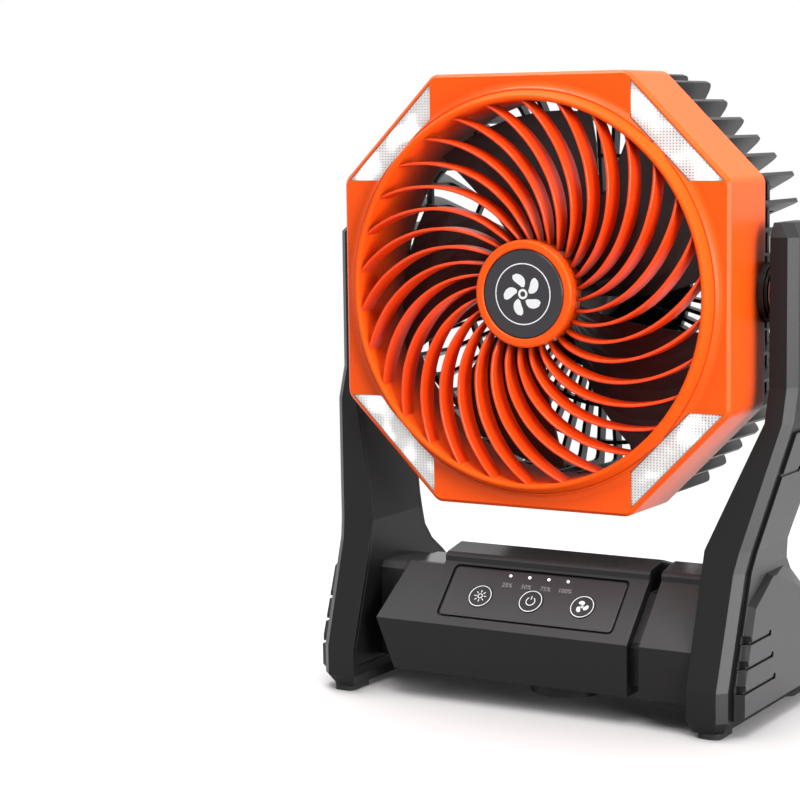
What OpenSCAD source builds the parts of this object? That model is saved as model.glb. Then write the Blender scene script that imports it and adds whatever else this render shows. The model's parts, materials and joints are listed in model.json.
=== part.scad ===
// Portable camping fan: an octagonal fan head with four corner lamps that tilts
// between two dog-leg arms, on a base that holds the battery and the controls.
// Millimetres, +Z up, the front faces -Y, origin under the middle on the ground.

/* [Head] */
// Width of the flat face between the collar and the head's sides
face_edge = 7; // [4:0.5:10]
// Width of the flat face above and below the collar
face_rise = 8.6; // [6:0.2:12]
// Depth of the head from its front face to the back of the fins
head_d = 96; // [88:1:100]
// Depth of the orange front shell
bezel_d = 44; // [40:1:50]
// Wall of the moulded shells
wall = 2.4; // [1.8:0.1:3]
// Bevel round the front face of the head
bezel_bevel = 1.6; // [0.8:0.1:2.4]

/* [Grille] */
// Inside radius of the air duct
duct_r = 95.5; // [88:0.5:102]
// How far the round collar stands in front of the face
collar_h = 7.5; // [4:0.5:9]
// Width of the collar across its slope
collar_w = 5.5; // [4:0.5:7]
// Number of spiral vanes
vane_count = 30; // [24:1:34]
// Angle each vane sweeps from hub to duct
vane_sweep = 48; // [30:1:55]
// Thickness of a vane
vane_t = 1.6; // [1.2:0.1:2.2]
// Radius of the hub cup in the middle of the grille
hub_r = 27; // [22:0.5:32]
// Rim of the hub cup round its badge
hub_rim = 4.8; // [3:0.2:6]

/* [Lamps] */
// Width of a lamp lens across the corner
lens_w = 12.4; // [9:0.2:13]
// Strip of shell left outside a lens
lens_margin = 2.5; // [2:0.1:4]
// Light emitters on one lamp board
emitter_count = 8; // [4:1:10]

/* [Rear fins] */
// Number of fins round the back of the head
fin_count = 56; // [40:2:60]
// Thickness of a fin
fin_t = 2; // [1.6:0.1:2.4]
// Depth of a fin along the side of the head
fin_side = 12; // [8:0.5:14]
// Depth of a fin across the back of the head
fin_back = 7; // [5:0.5:9]
// Radius of the motor plate at the back
motor_plate_r = 48; // [40:1:54]

/* [Impeller] */
// Number of impeller blades
blade_count = 5; // [4:1:7]
// Gap between the blade tips and the duct
tip_gap = 4.5; // [3:0.5:7]
// Radius of the impeller hub
impeller_hub_r = 20; // [16:0.5:24]
// Thickness of a blade
blade_t = 1.8; // [1.4:0.1:2.6]
// Radius of the motor can
motor_r = 19; // [15:0.5:21]
// Radius of the motor shaft
shaft_r = 2; // [1.5:0.1:3]

/* [Stand] */
// Height of the tilt axis above the ground
pivot_z = 212; // [205:1:222]
// Depth of the stand's feet
stand_d = 124; // [116:1:136]
// Gap between the head and each arm
arm_gap = 9; // [8:0.5:12]
// Thickness of an arm across its upper part
arm_t = 13.5; // [12:0.5:16]
// Depth of an arm at the tilt axis
arm_d = 40; // [36:1:46]
// Height of the arms above the tilt axis
arm_rise = 35; // [30:1:40]
// Width between the feet, inside
foot_in = 189; // [180:1:196]
// Width of one foot
foot_w = 20; // [17:0.5:24]
// Bevel down the outer front edge of an arm
arm_bevel = 4.5; // [3:0.5:6]
// Wall of an arm
arm_wall = 2.6; // [2:0.1:3.2]
// Height of a rubber pad under the feet
pad_h = 3; // [2:0.2:4]

/* [Side covers] */
// Width of the shadow groove in front of a side cover
groove_w = 4.5; // [4:0.5:8]
// How far the upper part of a side cover stands out
cover_t = 1.6; // [1.2:0.1:2.2]
// How far the lower panel stands out beyond the rest of the cover
cover_step = 4.4; // [2.4:0.2:5]
// Number of slits across the lower panel
slit_count = 3; // [2:1:3]
// Height of one slit
slit_h = 1.4; // [1:0.1:2]
// Distance from one slit to the next
slit_pitch = 11.5; // [10:0.5:12]

/* [Base] */
// Height of the base's underside above the ground
base_z = 15; // [13:0.5:18]
// Height of the base's upright front
base_front_h = 26; // [24:0.5:30]
// Height of the sloping front
slope_h = 28; // [26:0.5:31]
// Depth of the sloping front
slope_d = 27; // [25:0.5:30]
// Height of the ridge above the slope
ridge_h = 7; // [5:0.5:8]
// Depth of the base
base_d = 91.5; // [84:0.5:98]
// Distance of the base's front behind the front of the feet
base_set = 6.5; // [5:0.5:9]
// How far the core of the base lies inside its outer blocks
core_inset = 5; // [4:0.5:6]
// Width of the shadow groove across the base
split_w = 6.5; // [4:0.5:8]
// Distance of that groove from the middle
split_x = 60; // [56:1:64]

/* [Controls] */
// Width of the control panel
panel_w = 98; // [92:1:102]
// Length of the control panel up the slope
panel_l = 29.4; // [27:0.2:31]
// Shadow gap round the control panel
panel_gap = 1.4; // [0.4:0.2:1.8]
// Thickness of the control panel
panel_t = 1.4; // [1:0.1:2]
// Radius of a push button
button_r = 6.6; // [5:0.1:7.2]
// Distance between the buttons
button_pitch = 29.2; // [24:0.2:31]
// Travel of a push button
button_travel = 0.6; // [0.4:0.1:1]
// Distance between the charge lights
led_pitch = 11; // [8:0.5:13]
// Number of battery cells
cell_count = 4; // [2:2:4]
// Radius of a battery cell
cell_r = 9.2; // [8:0.1:9.4]

/* [Hook] */
// Radius of the ring of the hanging hook
hook_r = 20; // [16:0.5:22]
// Thickness of the hanging hook
hook_t = 5; // [4:0.5:6]
// Width of the ring's bar
hook_bar = 5.5; // [4:0.5:7]

/* [Fits] */
// Gap between parts that are pushed together
fit = 0.2; // [0.1:0.05:0.3]
// Radial gap of a shaft that turns in its bore
running = 0.05; // [0.02:0.01:0.09]
// Gap between faces that pass each other
slide_gap = 0.4; // [0.3:0.05:0.6]

/* [Hidden] */
LENSES = [for (i = [1 : 4]) str("led_lens_", i)];
BOARDS = [for (i = [1 : 4]) str("led_board_", i)];
CELLS = [for (i = [1 : cell_count]) str("battery_cell_", i)];

$fn = 96;
orange = "#FF6A2B";
black = "#2E2C2F";
grey = "#4A474A";
steel = "#B9BBBE";

// Head layout. Depths inside the head count back from its front face.
pivot_y = 6.5;
pivot_r = 3.5;
pivot_depth = bezel_d + pivot_r + 0.5;
head_front = pivot_y - pivot_depth;
duct_wall = 4;
collar_r = duct_r + collar_w;
half_w = collar_r + face_edge;
half_h = collar_r + face_rise;
oct_sum = sqrt(2) * (collar_r + fit + lens_w + lens_margin);
corner_r = 7;
rim_w = 4.5;
rim_h = 2.4;
grille_back = 4.5;
vane_dome = 8.2;
vane_root_y = 0.5;
hub_front = -6.7;
badge_t = 1.5;
badge_r = hub_r - hub_rim;
board_y = wall + 1.8;
board_t = 1.4;
post_r = 4;
post_at = (collar_r + post_r + 1) / sqrt(2);
post_front = board_y + board_t + fit;
screw_r = 1.5;
flange_t = 3;
fin_inset = 1.5;
fin_round = 6;
boss_r = 15;
pad_y = [flange_t + bezel_d - 0.01, pivot_depth + boss_r + 1];
band_y = (bezel_d + head_d) / 2;
band_w = 3;

// Impeller and motor, on the same depth scale.
blade_mid = bezel_d - 14;
blade_root_rise = blade_mid - 17;
blade_tip_rise = blade_root_rise - 4;
blade_root_span = 62;
blade_tip_span = 52;
motor_front = bezel_d + 10;
motor_back = head_d - 6;
motor_screw_x = motor_r - 7;
hub_nose = blade_mid - 16;
hub_face = hub_nose + 7;
hub_back = motor_front - 6;
nut_l = 3;
shaft_front = hub_nose - nut_l - 1.5;

// Arm layout, as heights above the ground.
arm_in = half_w + arm_gap;
arm_out = arm_in + arm_t;
foot_x = foot_in / 2;
foot_out = foot_x + foot_w;
arm_top = pivot_z + arm_rise;
top_bevel = 7;
shoulder_z = pivot_z - 45;
hip_z = pivot_z - 62;
knee_z = pivot_z - 123;
heel_z = 36;
ankle_z = 24;
sole_bevel = 6;
arm_front = pivot_y - arm_d / 2;
arm_back = pivot_y + arm_d / 2;
neck_y = 11.5;
liner_t = 2;
knuckle_t = 3;
washer_t = 1;
boss_h = arm_gap - knuckle_t - washer_t - slide_gap;

// Base layout.
base_front = -stand_d / 2 + base_set;
base_back = base_front + base_d;
edge_z = base_z + base_front_h;
slope_top = edge_z + slope_h;
ridge_z = slope_top + ridge_h;
ridge_front = base_front + slope_d;
ridge_half = 57;
wing_drop = 1.8;
wing_flat = 29;
wing_top = slope_top - wing_drop;
wing_front = base_front + slope_d * (1 - wing_drop / slope_h);
link_set = 22;
link_top = edge_z + slope_h * link_set / slope_d;
ridge_face = 17;
base_left = 84;
link_end = -base_left + 14;
slope_a = atan(slope_h / slope_d);
slope_mid = [0, base_front + slope_d / 2, edge_z + slope_h / 2];
panel_up = 1.9;
led_up = 14;
led_r = 0.75;
panel_pocket = 1.8;
board_drop = 8.5;
board_w = panel_w - 8;
board_l = panel_l - 1.4;
pcb_t = 1.6;
switch_h = 1.71;
hook_x = 16;
hook_y = base_front + 51.5;
hook_z = base_z - 3.5;
hook_neck = 6;
pin_r = 1.5;
lug_r = 3.4;
lug_gap = 13;

// A corner of an outline replaced by an arc that touches both of its sides.
function unit(v) = v / norm(v);
function corner_arc(a, b, c, r, n = 4) =
    let (u = unit(a - b), w = unit(c - b), t = r / tan(acos(u * w) / 2))
    let (m = b + unit(u + w) * norm([r, t]))
    let (s = atan2((b + u * t - m)[1], (b + u * t - m)[0]))
    let (e = atan2((b + w * t - m)[1], (b + w * t - m)[0]))
    let (d = e - s, turn = d > 180 ? d - 360 : d < -180 ? d + 360 : d)
    [for (i = [0 : n]) m + r * [cos(s + turn * i / n), sin(s + turn * i / n)]];
function rounded(p, r) = [
    for (i = [0 : len(p) - 1])
        each corner_arc(p[(i + len(p) - 1) % len(p)], p[i], p[(i + 1) % len(p)], r)];

// The head's octagon, seen from the front and drawn smaller by an inset.
function octagon(inset) =
    let (w = half_w - inset, h = half_h - inset, sum = oct_sum - inset * sqrt(2))
    let (x = sum - h, z = sum - w)
    [[w, -z], [w, z], [x, h], [-x, h], [-w, z], [-w, -z], [-x, -h], [x, -h]];
// Distance from the head's axis to its outline at an angle.
function oct_reach(a) =
    min(half_w / max(abs(cos(a)), 0.001), half_h / max(abs(sin(a)), 0.001),
        oct_sum / (abs(cos(a)) + abs(sin(a))));

// A flat outline, seen from the front, given a depth from y0 back to y1.
module slab(y0, y1) {
    translate([0, y1, 0])
        rotate([90, 0, 0])
            linear_extrude(y1 - y0)
                children();
}
// A solid turned about the head's axis from points of radius and depth.
module turned(points) {
    rotate([90, 0, 0])
        rotate_extrude()
            polygon([for (p = points) [p[0], -p[1]]]);
}
module rod(r, y0, y1) {
    translate([0, y1, 0])
        rotate([90, 0, 0])
            cylinder(r = r, h = y1 - y0);
}
module head_place() {
    translate([0, head_front, pivot_z])
        children();
}
module octagon_slab(inset, y0, y1) {
    slab(y0, y1)
        polygon(rounded(octagon(inset), corner_r - min(inset, corner_r - 2)));
}
module at_corners() {
    for (sx = [-1, 1], sz = [-1, 1])
        translate([sx * post_at, 0, sz * post_at])
            children();
}

// Lamp lens in the upper right corner, grown by a gap.
lens_cut = oct_sum - half_w;
function lens_outline(gap) =
    let (far = oct_sum - (lens_margin - gap) * sqrt(2))
    let (near = oct_sum - (lens_margin + lens_w + gap) * sqrt(2))
    let (cut = lens_cut - gap)
    [[cut, near - cut], [cut, far - cut], [far - cut, cut], [near - cut, cut]];
module corner_turn(i) {
    rotate([0, 90 * (i - 1), 0])
        children();
}

module front_bezel() {
    color(orange) head_place() difference() {
        union() {
            hull() {
                octagon_slab(bezel_bevel, 0, 0.02);
                octagon_slab(0, bezel_bevel, bezel_bevel + 0.02);
            }
            octagon_slab(0, bezel_bevel, bezel_d);
            turned([[collar_r, 1], [collar_r, -rim_h], [collar_r + rim_w * 0.15, -rim_h],
                    [collar_r + rim_w * 0.4, -rim_h * 0.45], [collar_r + rim_w * 0.7, -rim_h * 0.13],
                    [collar_r + rim_w, 0], [collar_r + rim_w, 1]]);
        }
        difference() {
            octagon_slab(wall, wall, bezel_d + 1);
            at_corners() rod(post_r, post_front, bezel_d + 1);
            for (i = [1 : 4])
                corner_turn(i)
                    rotate([0, -45, 0])
                        translate([post_at * sqrt(2), post_front, -wall / 2])
                            cube([9, bezel_d - post_front, wall]);
        }
        rod(collar_r + fit / 2, -rim_h - 1, wall + 1);
        at_corners() rod(screw_r - 0.3, bezel_d - 14, bezel_d + 1);
        for (i = [1 : 4])
            corner_turn(i)
                slab(-rim_h - 1, wall + 1)
                    polygon(lens_outline(fit));
    }
}

// A vane follows the arc through three points of a widening spiral.
function across(t) = hub_r + (duct_r - hub_r) * t;
function spiral(t) =
    let (a = vane_sweep * pow(t, 1.06))
    across(t) * [cos(a), sin(a)];
function arc_centre(a, b, c) =
    let (d = 2 * (a[0] * (b[1] - c[1]) + b[0] * (c[1] - a[1]) + c[0] * (a[1] - b[1])))
    [(a * a * (b[1] - c[1]) + b * b * (c[1] - a[1]) + c * c * (a[1] - b[1])) / d,
     (a * a * (c[0] - b[0]) + b * b * (a[0] - c[0]) + c * c * (b[0] - a[0])) / d];
vane_m = arc_centre(spiral(0), spiral(0.5), spiral(1));
vane_r = norm(spiral(0) - vane_m);
vane_a0 = atan2((spiral(0) - vane_m)[1], (spiral(0) - vane_m)[0]);
vane_a1 = atan2((spiral(1) - vane_m)[1], (spiral(1) - vane_m)[0]);
vane_steps = 9;
function vane_edge(r) = [
    for (i = [-1 : vane_steps + 1])
        let (a = vane_a0 + (vane_a1 - vane_a0) * i / vane_steps / 1.01)
        vane_m + r * [cos(a), sin(a)]];
function reversed(p) = [for (i = [len(p) - 1 : -1 : 0]) p[i]];

module vane() {
    polygon(concat(vane_edge(vane_r - vane_t / 2), reversed(vane_edge(vane_r + vane_t / 2))));
}

module spiral_grille() {
    color(orange) head_place() {
        turned([[collar_r, 3], [collar_r, -rim_h], [duct_r + 2.2, -collar_h + 0.6],
                [duct_r + 1, -collar_h], [duct_r + 0.4, -collar_h + 0.4], [duct_r, -collar_h + 1.6],
                [duct_r, 12], [duct_r + 1.5, bezel_d], [duct_r + duct_wall + 2, bezel_d],
                [duct_r + duct_wall + 2, bezel_d - 2], [duct_r + duct_wall, bezel_d - 3],
                [duct_r + duct_wall, 3]]);
        turned([[0, hub_front + badge_t + 0.6], [badge_r + fit, hub_front + badge_t + 0.6],
                [badge_r + fit, hub_front + 0.6], [badge_r + fit + 0.8, hub_front],
                [hub_r - 1, hub_front], [hub_r, hub_front + 1], [hub_r, grille_back],
                [hub_r - 2, grille_back], [hub_r - 2, hub_front + badge_t + 2.4],
                [0, hub_front + badge_t + 2.4]]);
        intersection() {
            slab(-vane_dome - 1, grille_back)
                for (i = [0 : vane_count - 1])
                    rotate(i * 360 / vane_count + 6)
                        vane();
            turned([[hub_r - 1.5, grille_back + 1], [hub_r - 1.5, vane_root_y],
                    [across(0.13), -vane_dome * 0.51], [across(0.34), -vane_dome * 0.85],
                    [across(0.57), -vane_dome], [across(0.77), -vane_dome + 0.4],
                    [duct_r + 1.5, -vane_dome + 2.8], [duct_r + 1.5, grille_back + 1]]);
        }
    }
}

module hub_badge() {
    color(grey) head_place()
        turned([[0, hub_front + 0.3], [badge_r - 0.6, hub_front + 0.3], [badge_r, hub_front + 0.8],
                [badge_r, hub_front + badge_t + 0.6], [0, hub_front + badge_t + 0.6]]);
}

module led_lens(i) {
    color("white", 0.8) head_place() corner_turn(i)
        slab(0.3, wall + 0.6)
            polygon(lens_outline(0));
}

// The emitters stand in a row along the middle of the board.
module led_board(i) {
    row = oct_sum / sqrt(2) - lens_margin - lens_w / 2;
    span = 2 * (row - sqrt(2) * lens_cut) - 14;
    color("#F2F2EC") head_place() corner_turn(i) rotate([0, -45, 0]) {
        translate([row - 3.4, board_y, -span / 2 - 3])
            cube([7.6, board_t, span + 6]);
        for (k = [0 : emitter_count - 1])
            translate([row, board_y - 0.5, (k / (emitter_count - 1) - 0.5) * span])
                cube([2.8, 1.02, 2.8], center = true);
    }
}

// One fin: down the side of the head, round its back corner and in to the motor.
function fin_outline(reach) =
    let (inner = reach - fin_side)
    concat(
        [[inner, bezel_d + 0.5], [reach, bezel_d + 0.5]],
        corner_arc([reach, bezel_d], [reach, head_d], [0, head_d], fin_round, 5),
        [[motor_plate_r - 1, head_d], [motor_plate_r - 1, head_d - fin_back]],
        reversed(corner_arc([inner, bezel_d], [inner, head_d - fin_back], [0, head_d - fin_back], 3, 2)));

module fin(a) {
    rotate([0, -a, 0])
        translate([0, 0, -fin_t / 2])
            linear_extrude(fin_t)
                polygon(reversed(fin_outline(oct_reach(a) - fin_inset)));
}
module hoop(r, w, y0, y1) {
    turned([[r, y0], [r + w, y0], [r + w, y1], [r, y1]]);
}

module rear_housing() {
    color(black) head_place() difference() {
        union() {
            difference() {
                octagon_slab(1, bezel_d, bezel_d + flange_t);
                rod(duct_r + 2.5, bezel_d - 1, bezel_d + flange_t + 1);
            }
            for (i = [0 : fin_count - 1])
                fin((i + 0.5) * 360 / fin_count);
            difference() {
                octagon_slab(fin_side - band_w, band_y, band_y + band_w);
                octagon_slab(fin_side, band_y - 1, band_y + band_w + 1);
            }
            for (t = [0.38, 0.8])
                hoop(motor_plate_r + (duct_r - motor_plate_r) * t, 2, head_d - 5.5, head_d - 1);
            turned([[0, motor_back], [motor_plate_r, motor_back], [motor_plate_r, head_d - 1.5],
                    [motor_plate_r - 1.5, head_d], [0, head_d]]);
            hoop(motor_r + fit, 2.6, motor_back - 16, motor_back + 1);
            for (i = [0 : 15])
                rotate([0, i * 22.5, 0])
                    translate([motor_r + 1, motor_back - 6, -0.8])
                        cube([motor_plate_r - motor_r - 3, 7, 1.6]);
            for (s = [-1, 1])
                translate([s * (half_w - 5.5), (pad_y[0] + pad_y[1]) / 2, 0])
                    cube([11, pad_y[1] - pad_y[0], 2 * boss_r + 6], center = true);
        }
        for (s = [-1, 1])
            translate([s * (half_w - 12), pivot_depth, 0])
                rotate([0, s * 90, 0])
                    cylinder(r = pivot_r + running, h = 20);
        at_corners() rod(screw_r + 0.2, bezel_d - 1, bezel_d + flange_t + 1);
        for (s = [-1, 1])
            translate([s * motor_screw_x, 0, 0])
                rod(screw_r + 0.2, motor_back - 1, head_d + 1);
    }
}

module screw(y_tip, y_head) {
    rod(screw_r - 0.35, y_tip, y_head);
    rod(2.8, y_head, y_head + 1.8);
}
module head_screws() {
    color(steel) head_place() at_corners() screw(bezel_d - 12, bezel_d + flange_t);
}
module motor_screws() {
    color(steel) head_place()
        for (s = [-1, 1])
            translate([s * motor_screw_x, 0, 0])
                screw(motor_back - 4, head_d);
}

module motor() {
    color(steel) head_place() difference() {
        union() {
            turned([[0, motor_front], [motor_r - 1.5, motor_front], [motor_r, motor_front + 1.5],
                    [motor_r, motor_back], [0, motor_back]]);
            rod(6, motor_front - 3, motor_front + 1);
        }
        rod(shaft_r + running, motor_front - 4, motor_back - 6);
        for (s = [-1, 1])
            translate([s * motor_screw_x, 0, 0])
                rod(screw_r - 0.25, motor_back - 6, motor_back + 1);
    }
}

// A tilt boss fills the space between the head's side and the arm.
module tilt_boss(s) {
    color(black) translate([s * half_w, pivot_y, pivot_z])
        rotate([0, s * 90, 0])
            difference() {
                union() {
                    cylinder(r = boss_r, h = boss_h - 1.2);
                    cylinder(r = boss_r - 2, h = boss_h);
                }
                translate([0, 0, -1])
                    cylinder(r = pivot_r + running, h = arm_gap + 2);
            }
}

// One blade as a twisted band that keeps to cylinders about the shaft.
blade_out = duct_r - tip_gap;
blade_rings = 5;
blade_steps = 6;
function blade_point(i, k, side) =
    let (f = i / blade_rings, r = impeller_hub_r - 1.5 + (blade_out - impeller_hub_r + 1.5) * f)
    let (s = k / blade_steps - 0.5)
    let (span = blade_root_span + (blade_tip_span - blade_root_span) * f)
    let (rise = blade_root_rise + (blade_tip_rise - blade_root_rise) * f)
    let (a = s * span + 14 * f)
    [r * cos(a), blade_mid - 2 * s * rise + 3 * cos(180 * s) * f + side * blade_t / 2, r * sin(a)];
blade_row = blade_steps + 1;
blade_side = (blade_rings + 1) * blade_row;
function blade_id(i, k, side) = (side > 0 ? blade_side : 0) + i * blade_row + k;
module blade() {
    polyhedron(
        points = [for (side = [-1, 1], i = [0 : blade_rings], k = [0 : blade_steps])
            blade_point(i, k, side)],
        faces = concat(
            [for (i = [0 : blade_rings - 1], k = [0 : blade_steps - 1])
                each [[blade_id(i, k, -1), blade_id(i, k + 1, -1), blade_id(i + 1, k + 1, -1)],
                      [blade_id(i, k, -1), blade_id(i + 1, k + 1, -1), blade_id(i + 1, k, -1)]]],
            [for (i = [0 : blade_rings - 1], k = [0 : blade_steps - 1])
                each [[blade_id(i, k, 1), blade_id(i + 1, k + 1, 1), blade_id(i, k + 1, 1)],
                      [blade_id(i, k, 1), blade_id(i + 1, k, 1), blade_id(i + 1, k + 1, 1)]]],
            [for (i = [0 : blade_rings - 1], k = [0, blade_steps])
                let (p = [blade_id(i, k, -1), blade_id(i + 1, k, -1),
                          blade_id(i + 1, k, 1), blade_id(i, k, 1)])
                k == 0 ? p : reversed(p)],
            [for (k = [0 : blade_steps - 1], i = [0, blade_rings])
                let (p = [blade_id(i, k, -1), blade_id(i, k + 1, -1),
                          blade_id(i, k + 1, 1), blade_id(i, k, 1)])
                i == 0 ? reversed(p) : p]));
}

module impeller() {
    color("#1E1D20") head_place() difference() {
        union() {
            turned([[0, hub_nose], [impeller_hub_r * 0.4, hub_nose],
                    [impeller_hub_r * 0.75, hub_nose + 2], [impeller_hub_r, hub_face],
                    [impeller_hub_r, hub_back], [impeller_hub_r - 2, hub_back],
                    [impeller_hub_r - 2, hub_face + 1], [shaft_r + 3, hub_face - 2],
                    [shaft_r + 3, hub_back - 2], [0, hub_back - 2]]);
            for (i = [0 : blade_count - 1])
                rotate([0, -i * 360 / blade_count - 20, 0])
                    blade();
        }
        rod(shaft_r + 0.01, hub_nose - 1, hub_back + 1);
    }
}
module motor_shaft() {
    color(steel) head_place() rod(shaft_r, shaft_front, motor_back - 8);
}
module impeller_nut() {
    color("#C9A24B") head_place() difference() {
        rotate([90, 0, 0])
            translate([0, 0, -hub_nose])
                cylinder(r = 4.2, h = nut_l, $fn = 6);
        rod(shaft_r + 0.01, hub_nose - nut_l - 1, hub_nose + 1);
    }
}

// Arm outlines as functions of height, all for the right-hand arm.
function inner_x(z) = lookup(z, [[knee_z, foot_x], [hip_z, arm_in]]);
function outer_x(z) = lookup(z, [[ankle_z, foot_out], [knee_z - 7, foot_out + 1], [hip_z, arm_out]]);
function front_y(z) = lookup(z, [[ankle_z, -stand_d / 2], [shoulder_z, arm_front]]);
function rear_y(z) = lookup(z, [[heel_z, stand_d / 2], [heel_z + 10, stand_d / 2 - 8],
    [knee_z - 27, neck_y + 22], [knee_z - 19, neck_y + 10.5], [knee_z - 10, neck_y + 3],
    [knee_z, neck_y], [knee_z + 7, neck_y + 2.5], [knee_z + 17, neck_y + 7],
    [shoulder_z, arm_back]]);
bend_levels = concat(
    [ankle_z, heel_z, heel_z + 10],
    [for (h = [-27, -19, -10, 0, 7, 17]) knee_z + h]);
arm_levels = concat([pad_h, pad_h + sole_bevel], bend_levels,
    [hip_z, shoulder_z, arm_top - top_bevel, arm_top]);

function arm_shrink(z) = z == pad_h ? 3.5 : z == arm_top ? 5 : 0;
function arm_section(z) =
    let (e = arm_shrink(z), xi = inner_x(z) + (z == pad_h ? 2.5 : 0), xo = outer_x(z) - e)
    let (yf = front_y(z) + e, yr = rear_y(z) - e, c = arm_bevel, d = 3)
    [[xi, yf, z], [xo - c, yf, z], [xo, yf + c, z], [xo, yr - d, z], [xo - d, yr, z], [xi, yr, z]];
cavity_low = 14;
cavity_high = arm_top - 12;
cavity_levels = concat([cavity_low], bend_levels, [hip_z, shoulder_z, cavity_high]);
function cavity_section(z) =
    let (w = arm_wall, xo = outer_x(z) - w, yf = front_y(z) + w, yr = rear_y(z) - w, c = arm_bevel)
    [[inner_x(z) - 1, yf, z], [xo - c, yf, z], [xo, yf + c, z], [xo, yr - 3, z], [xo - 3, yr, z],
     [inner_x(z) - 1, yr, z]];
function liner_section(z) =
    let (w = arm_wall + fit)
    [[inner_x(z), front_y(z) + w, z], [inner_x(z) + liner_t, front_y(z) + w, z],
     [inner_x(z) + liner_t, rear_y(z) - w, z], [inner_x(z), rear_y(z) - w, z]];

// A solid through a stack of outlines that have the same number of points.
module loft(sections) {
    n = len(sections[0]);
    m = len(sections);
    polyhedron(
        points = [for (s = sections) each s],
        faces = concat(
            [[for (k = [0 : n - 1]) k]],
            [[for (k = [n - 1 : -1 : 0]) (m - 1) * n + k]],
            [for (i = [0 : m - 2], k = [0 : n - 1])
                each [[i * n + k, (i + 1) * n + k, (i + 1) * n + (k + 1) % n],
                      [i * n + k, (i + 1) * n + (k + 1) % n, i * n + (k + 1) % n]]]));
}
module right_or_left(s) {
    mirror([s < 0 ? 1 : 0, 0, 0])
        children();
}
module x_rod(r, x0, x1, y, z) {
    translate([x0, y, z])
        rotate([0, 90, 0])
            cylinder(r = r, h = x1 - x0);
}

arm_screw_at = [[base_front + link_set + 13, base_z + 17], [base_back - 14, base_z + 17]];
module arm(s) {
    color(black) right_or_left(s) difference() {
        union() {
            difference() {
                loft([for (z = arm_levels) arm_section(z)]);
                difference() {
                    loft([for (z = cavity_levels) cavity_section(z)]);
                    x_rod(9, arm_in + liner_t, arm_out, pivot_y, pivot_z);
                    for (p = arm_screw_at)
                        x_rod(4.5, foot_x + liner_t, foot_out, p[0], p[1]);
                }
            }
        }
        x_rod(pivot_r + running, arm_in - 1, arm_out + 1, pivot_y, pivot_z);
        x_rod(7.2, arm_out - 3.4, arm_out + 1, pivot_y, pivot_z);
        for (p = arm_screw_at) {
            x_rod(screw_r + 0.2, foot_x - 1, foot_out + 3, p[0], p[1]);
            x_rod(3, foot_out - 5, foot_out + 3, p[0], p[1]);
        }
    }
}

module arm_liner(s) {
    color(black) right_or_left(s) difference() {
        union() {
            loft([for (z = cavity_levels)
                liner_section(min(max(z, cavity_low + fit), cavity_high - fit))]);
            x_rod(boss_r - 2, arm_in - knuckle_t, arm_in + 0.5, pivot_y, pivot_z);
        }
        x_rod(pivot_r + running, arm_in - 9, arm_out + 1, pivot_y, pivot_z);
        for (p = arm_screw_at)
            x_rod(screw_r + 0.2, foot_x - 1, foot_out + 3, p[0], p[1]);
    }
}

module pivot_bolts() {
    color(steel)
        for (s = [-1, 1])
            right_or_left(s) {
                x_rod(pivot_r, half_w - 9, arm_out - 3, pivot_y, pivot_z);
                x_rod(7, arm_out - 3, arm_out - 0.4, pivot_y, pivot_z);
            }
}
module friction_washers() {
    color("#8A8C90")
        for (s = [-1, 1])
            right_or_left(s)
                difference() {
                    x_rod(boss_r - 3, arm_in - knuckle_t - washer_t, arm_in - knuckle_t, pivot_y, pivot_z);
                    x_rod(pivot_r + fit, arm_in - 9, arm_in, pivot_y, pivot_z);
                }
}

// Side cover: its edges keep the same distance to the arm all the way down.
cover_low = 9;
cover_high = pivot_z - 67;
panel_high = knee_z - 13;
function cover_front(z) = front_y(z) + arm_bevel + groove_w;
function cover_rear(z) = rear_y(z) - 3;
cover_levels = concat([cover_low], bend_levels, [cover_high]);
function x_band(t0, t1) = concat(
    [for (z = cover_levels) [outer_x(z) + t0, z]],
    [for (z = reversed(cover_levels)) [outer_x(z) + t1, z]]);
function panel_outline(e) =
    [[cover_front(cover_low) + e, cover_low + e], [cover_front(ankle_z) + e, ankle_z],
     [cover_front(panel_high - 12) + e, panel_high - 12 - e],
     [cover_front(panel_high) + 20, panel_high - e], [cover_front(panel_high) + 25, panel_high - e],
     [cover_rear(panel_high) - e, panel_high - 5 * e],
     [cover_rear(knee_z - 19) - e, knee_z - 19 - 3 * e],
     [cover_rear(knee_z - 27) - e, knee_z - 27 - 2 * e], [cover_rear(heel_z + 10) - e, heel_z + 10],
     [cover_rear(heel_z) - e, heel_z], [cover_rear(heel_z) - e, cover_low + e]];
// Points are depth and height, given a thickness across from x0 to x1.
module side_slab(x0, x1) {
    translate([x0, 0, 0])
        rotate([90, 0, 90])
            linear_extrude(x1 - x0)
                children();
}

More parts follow.
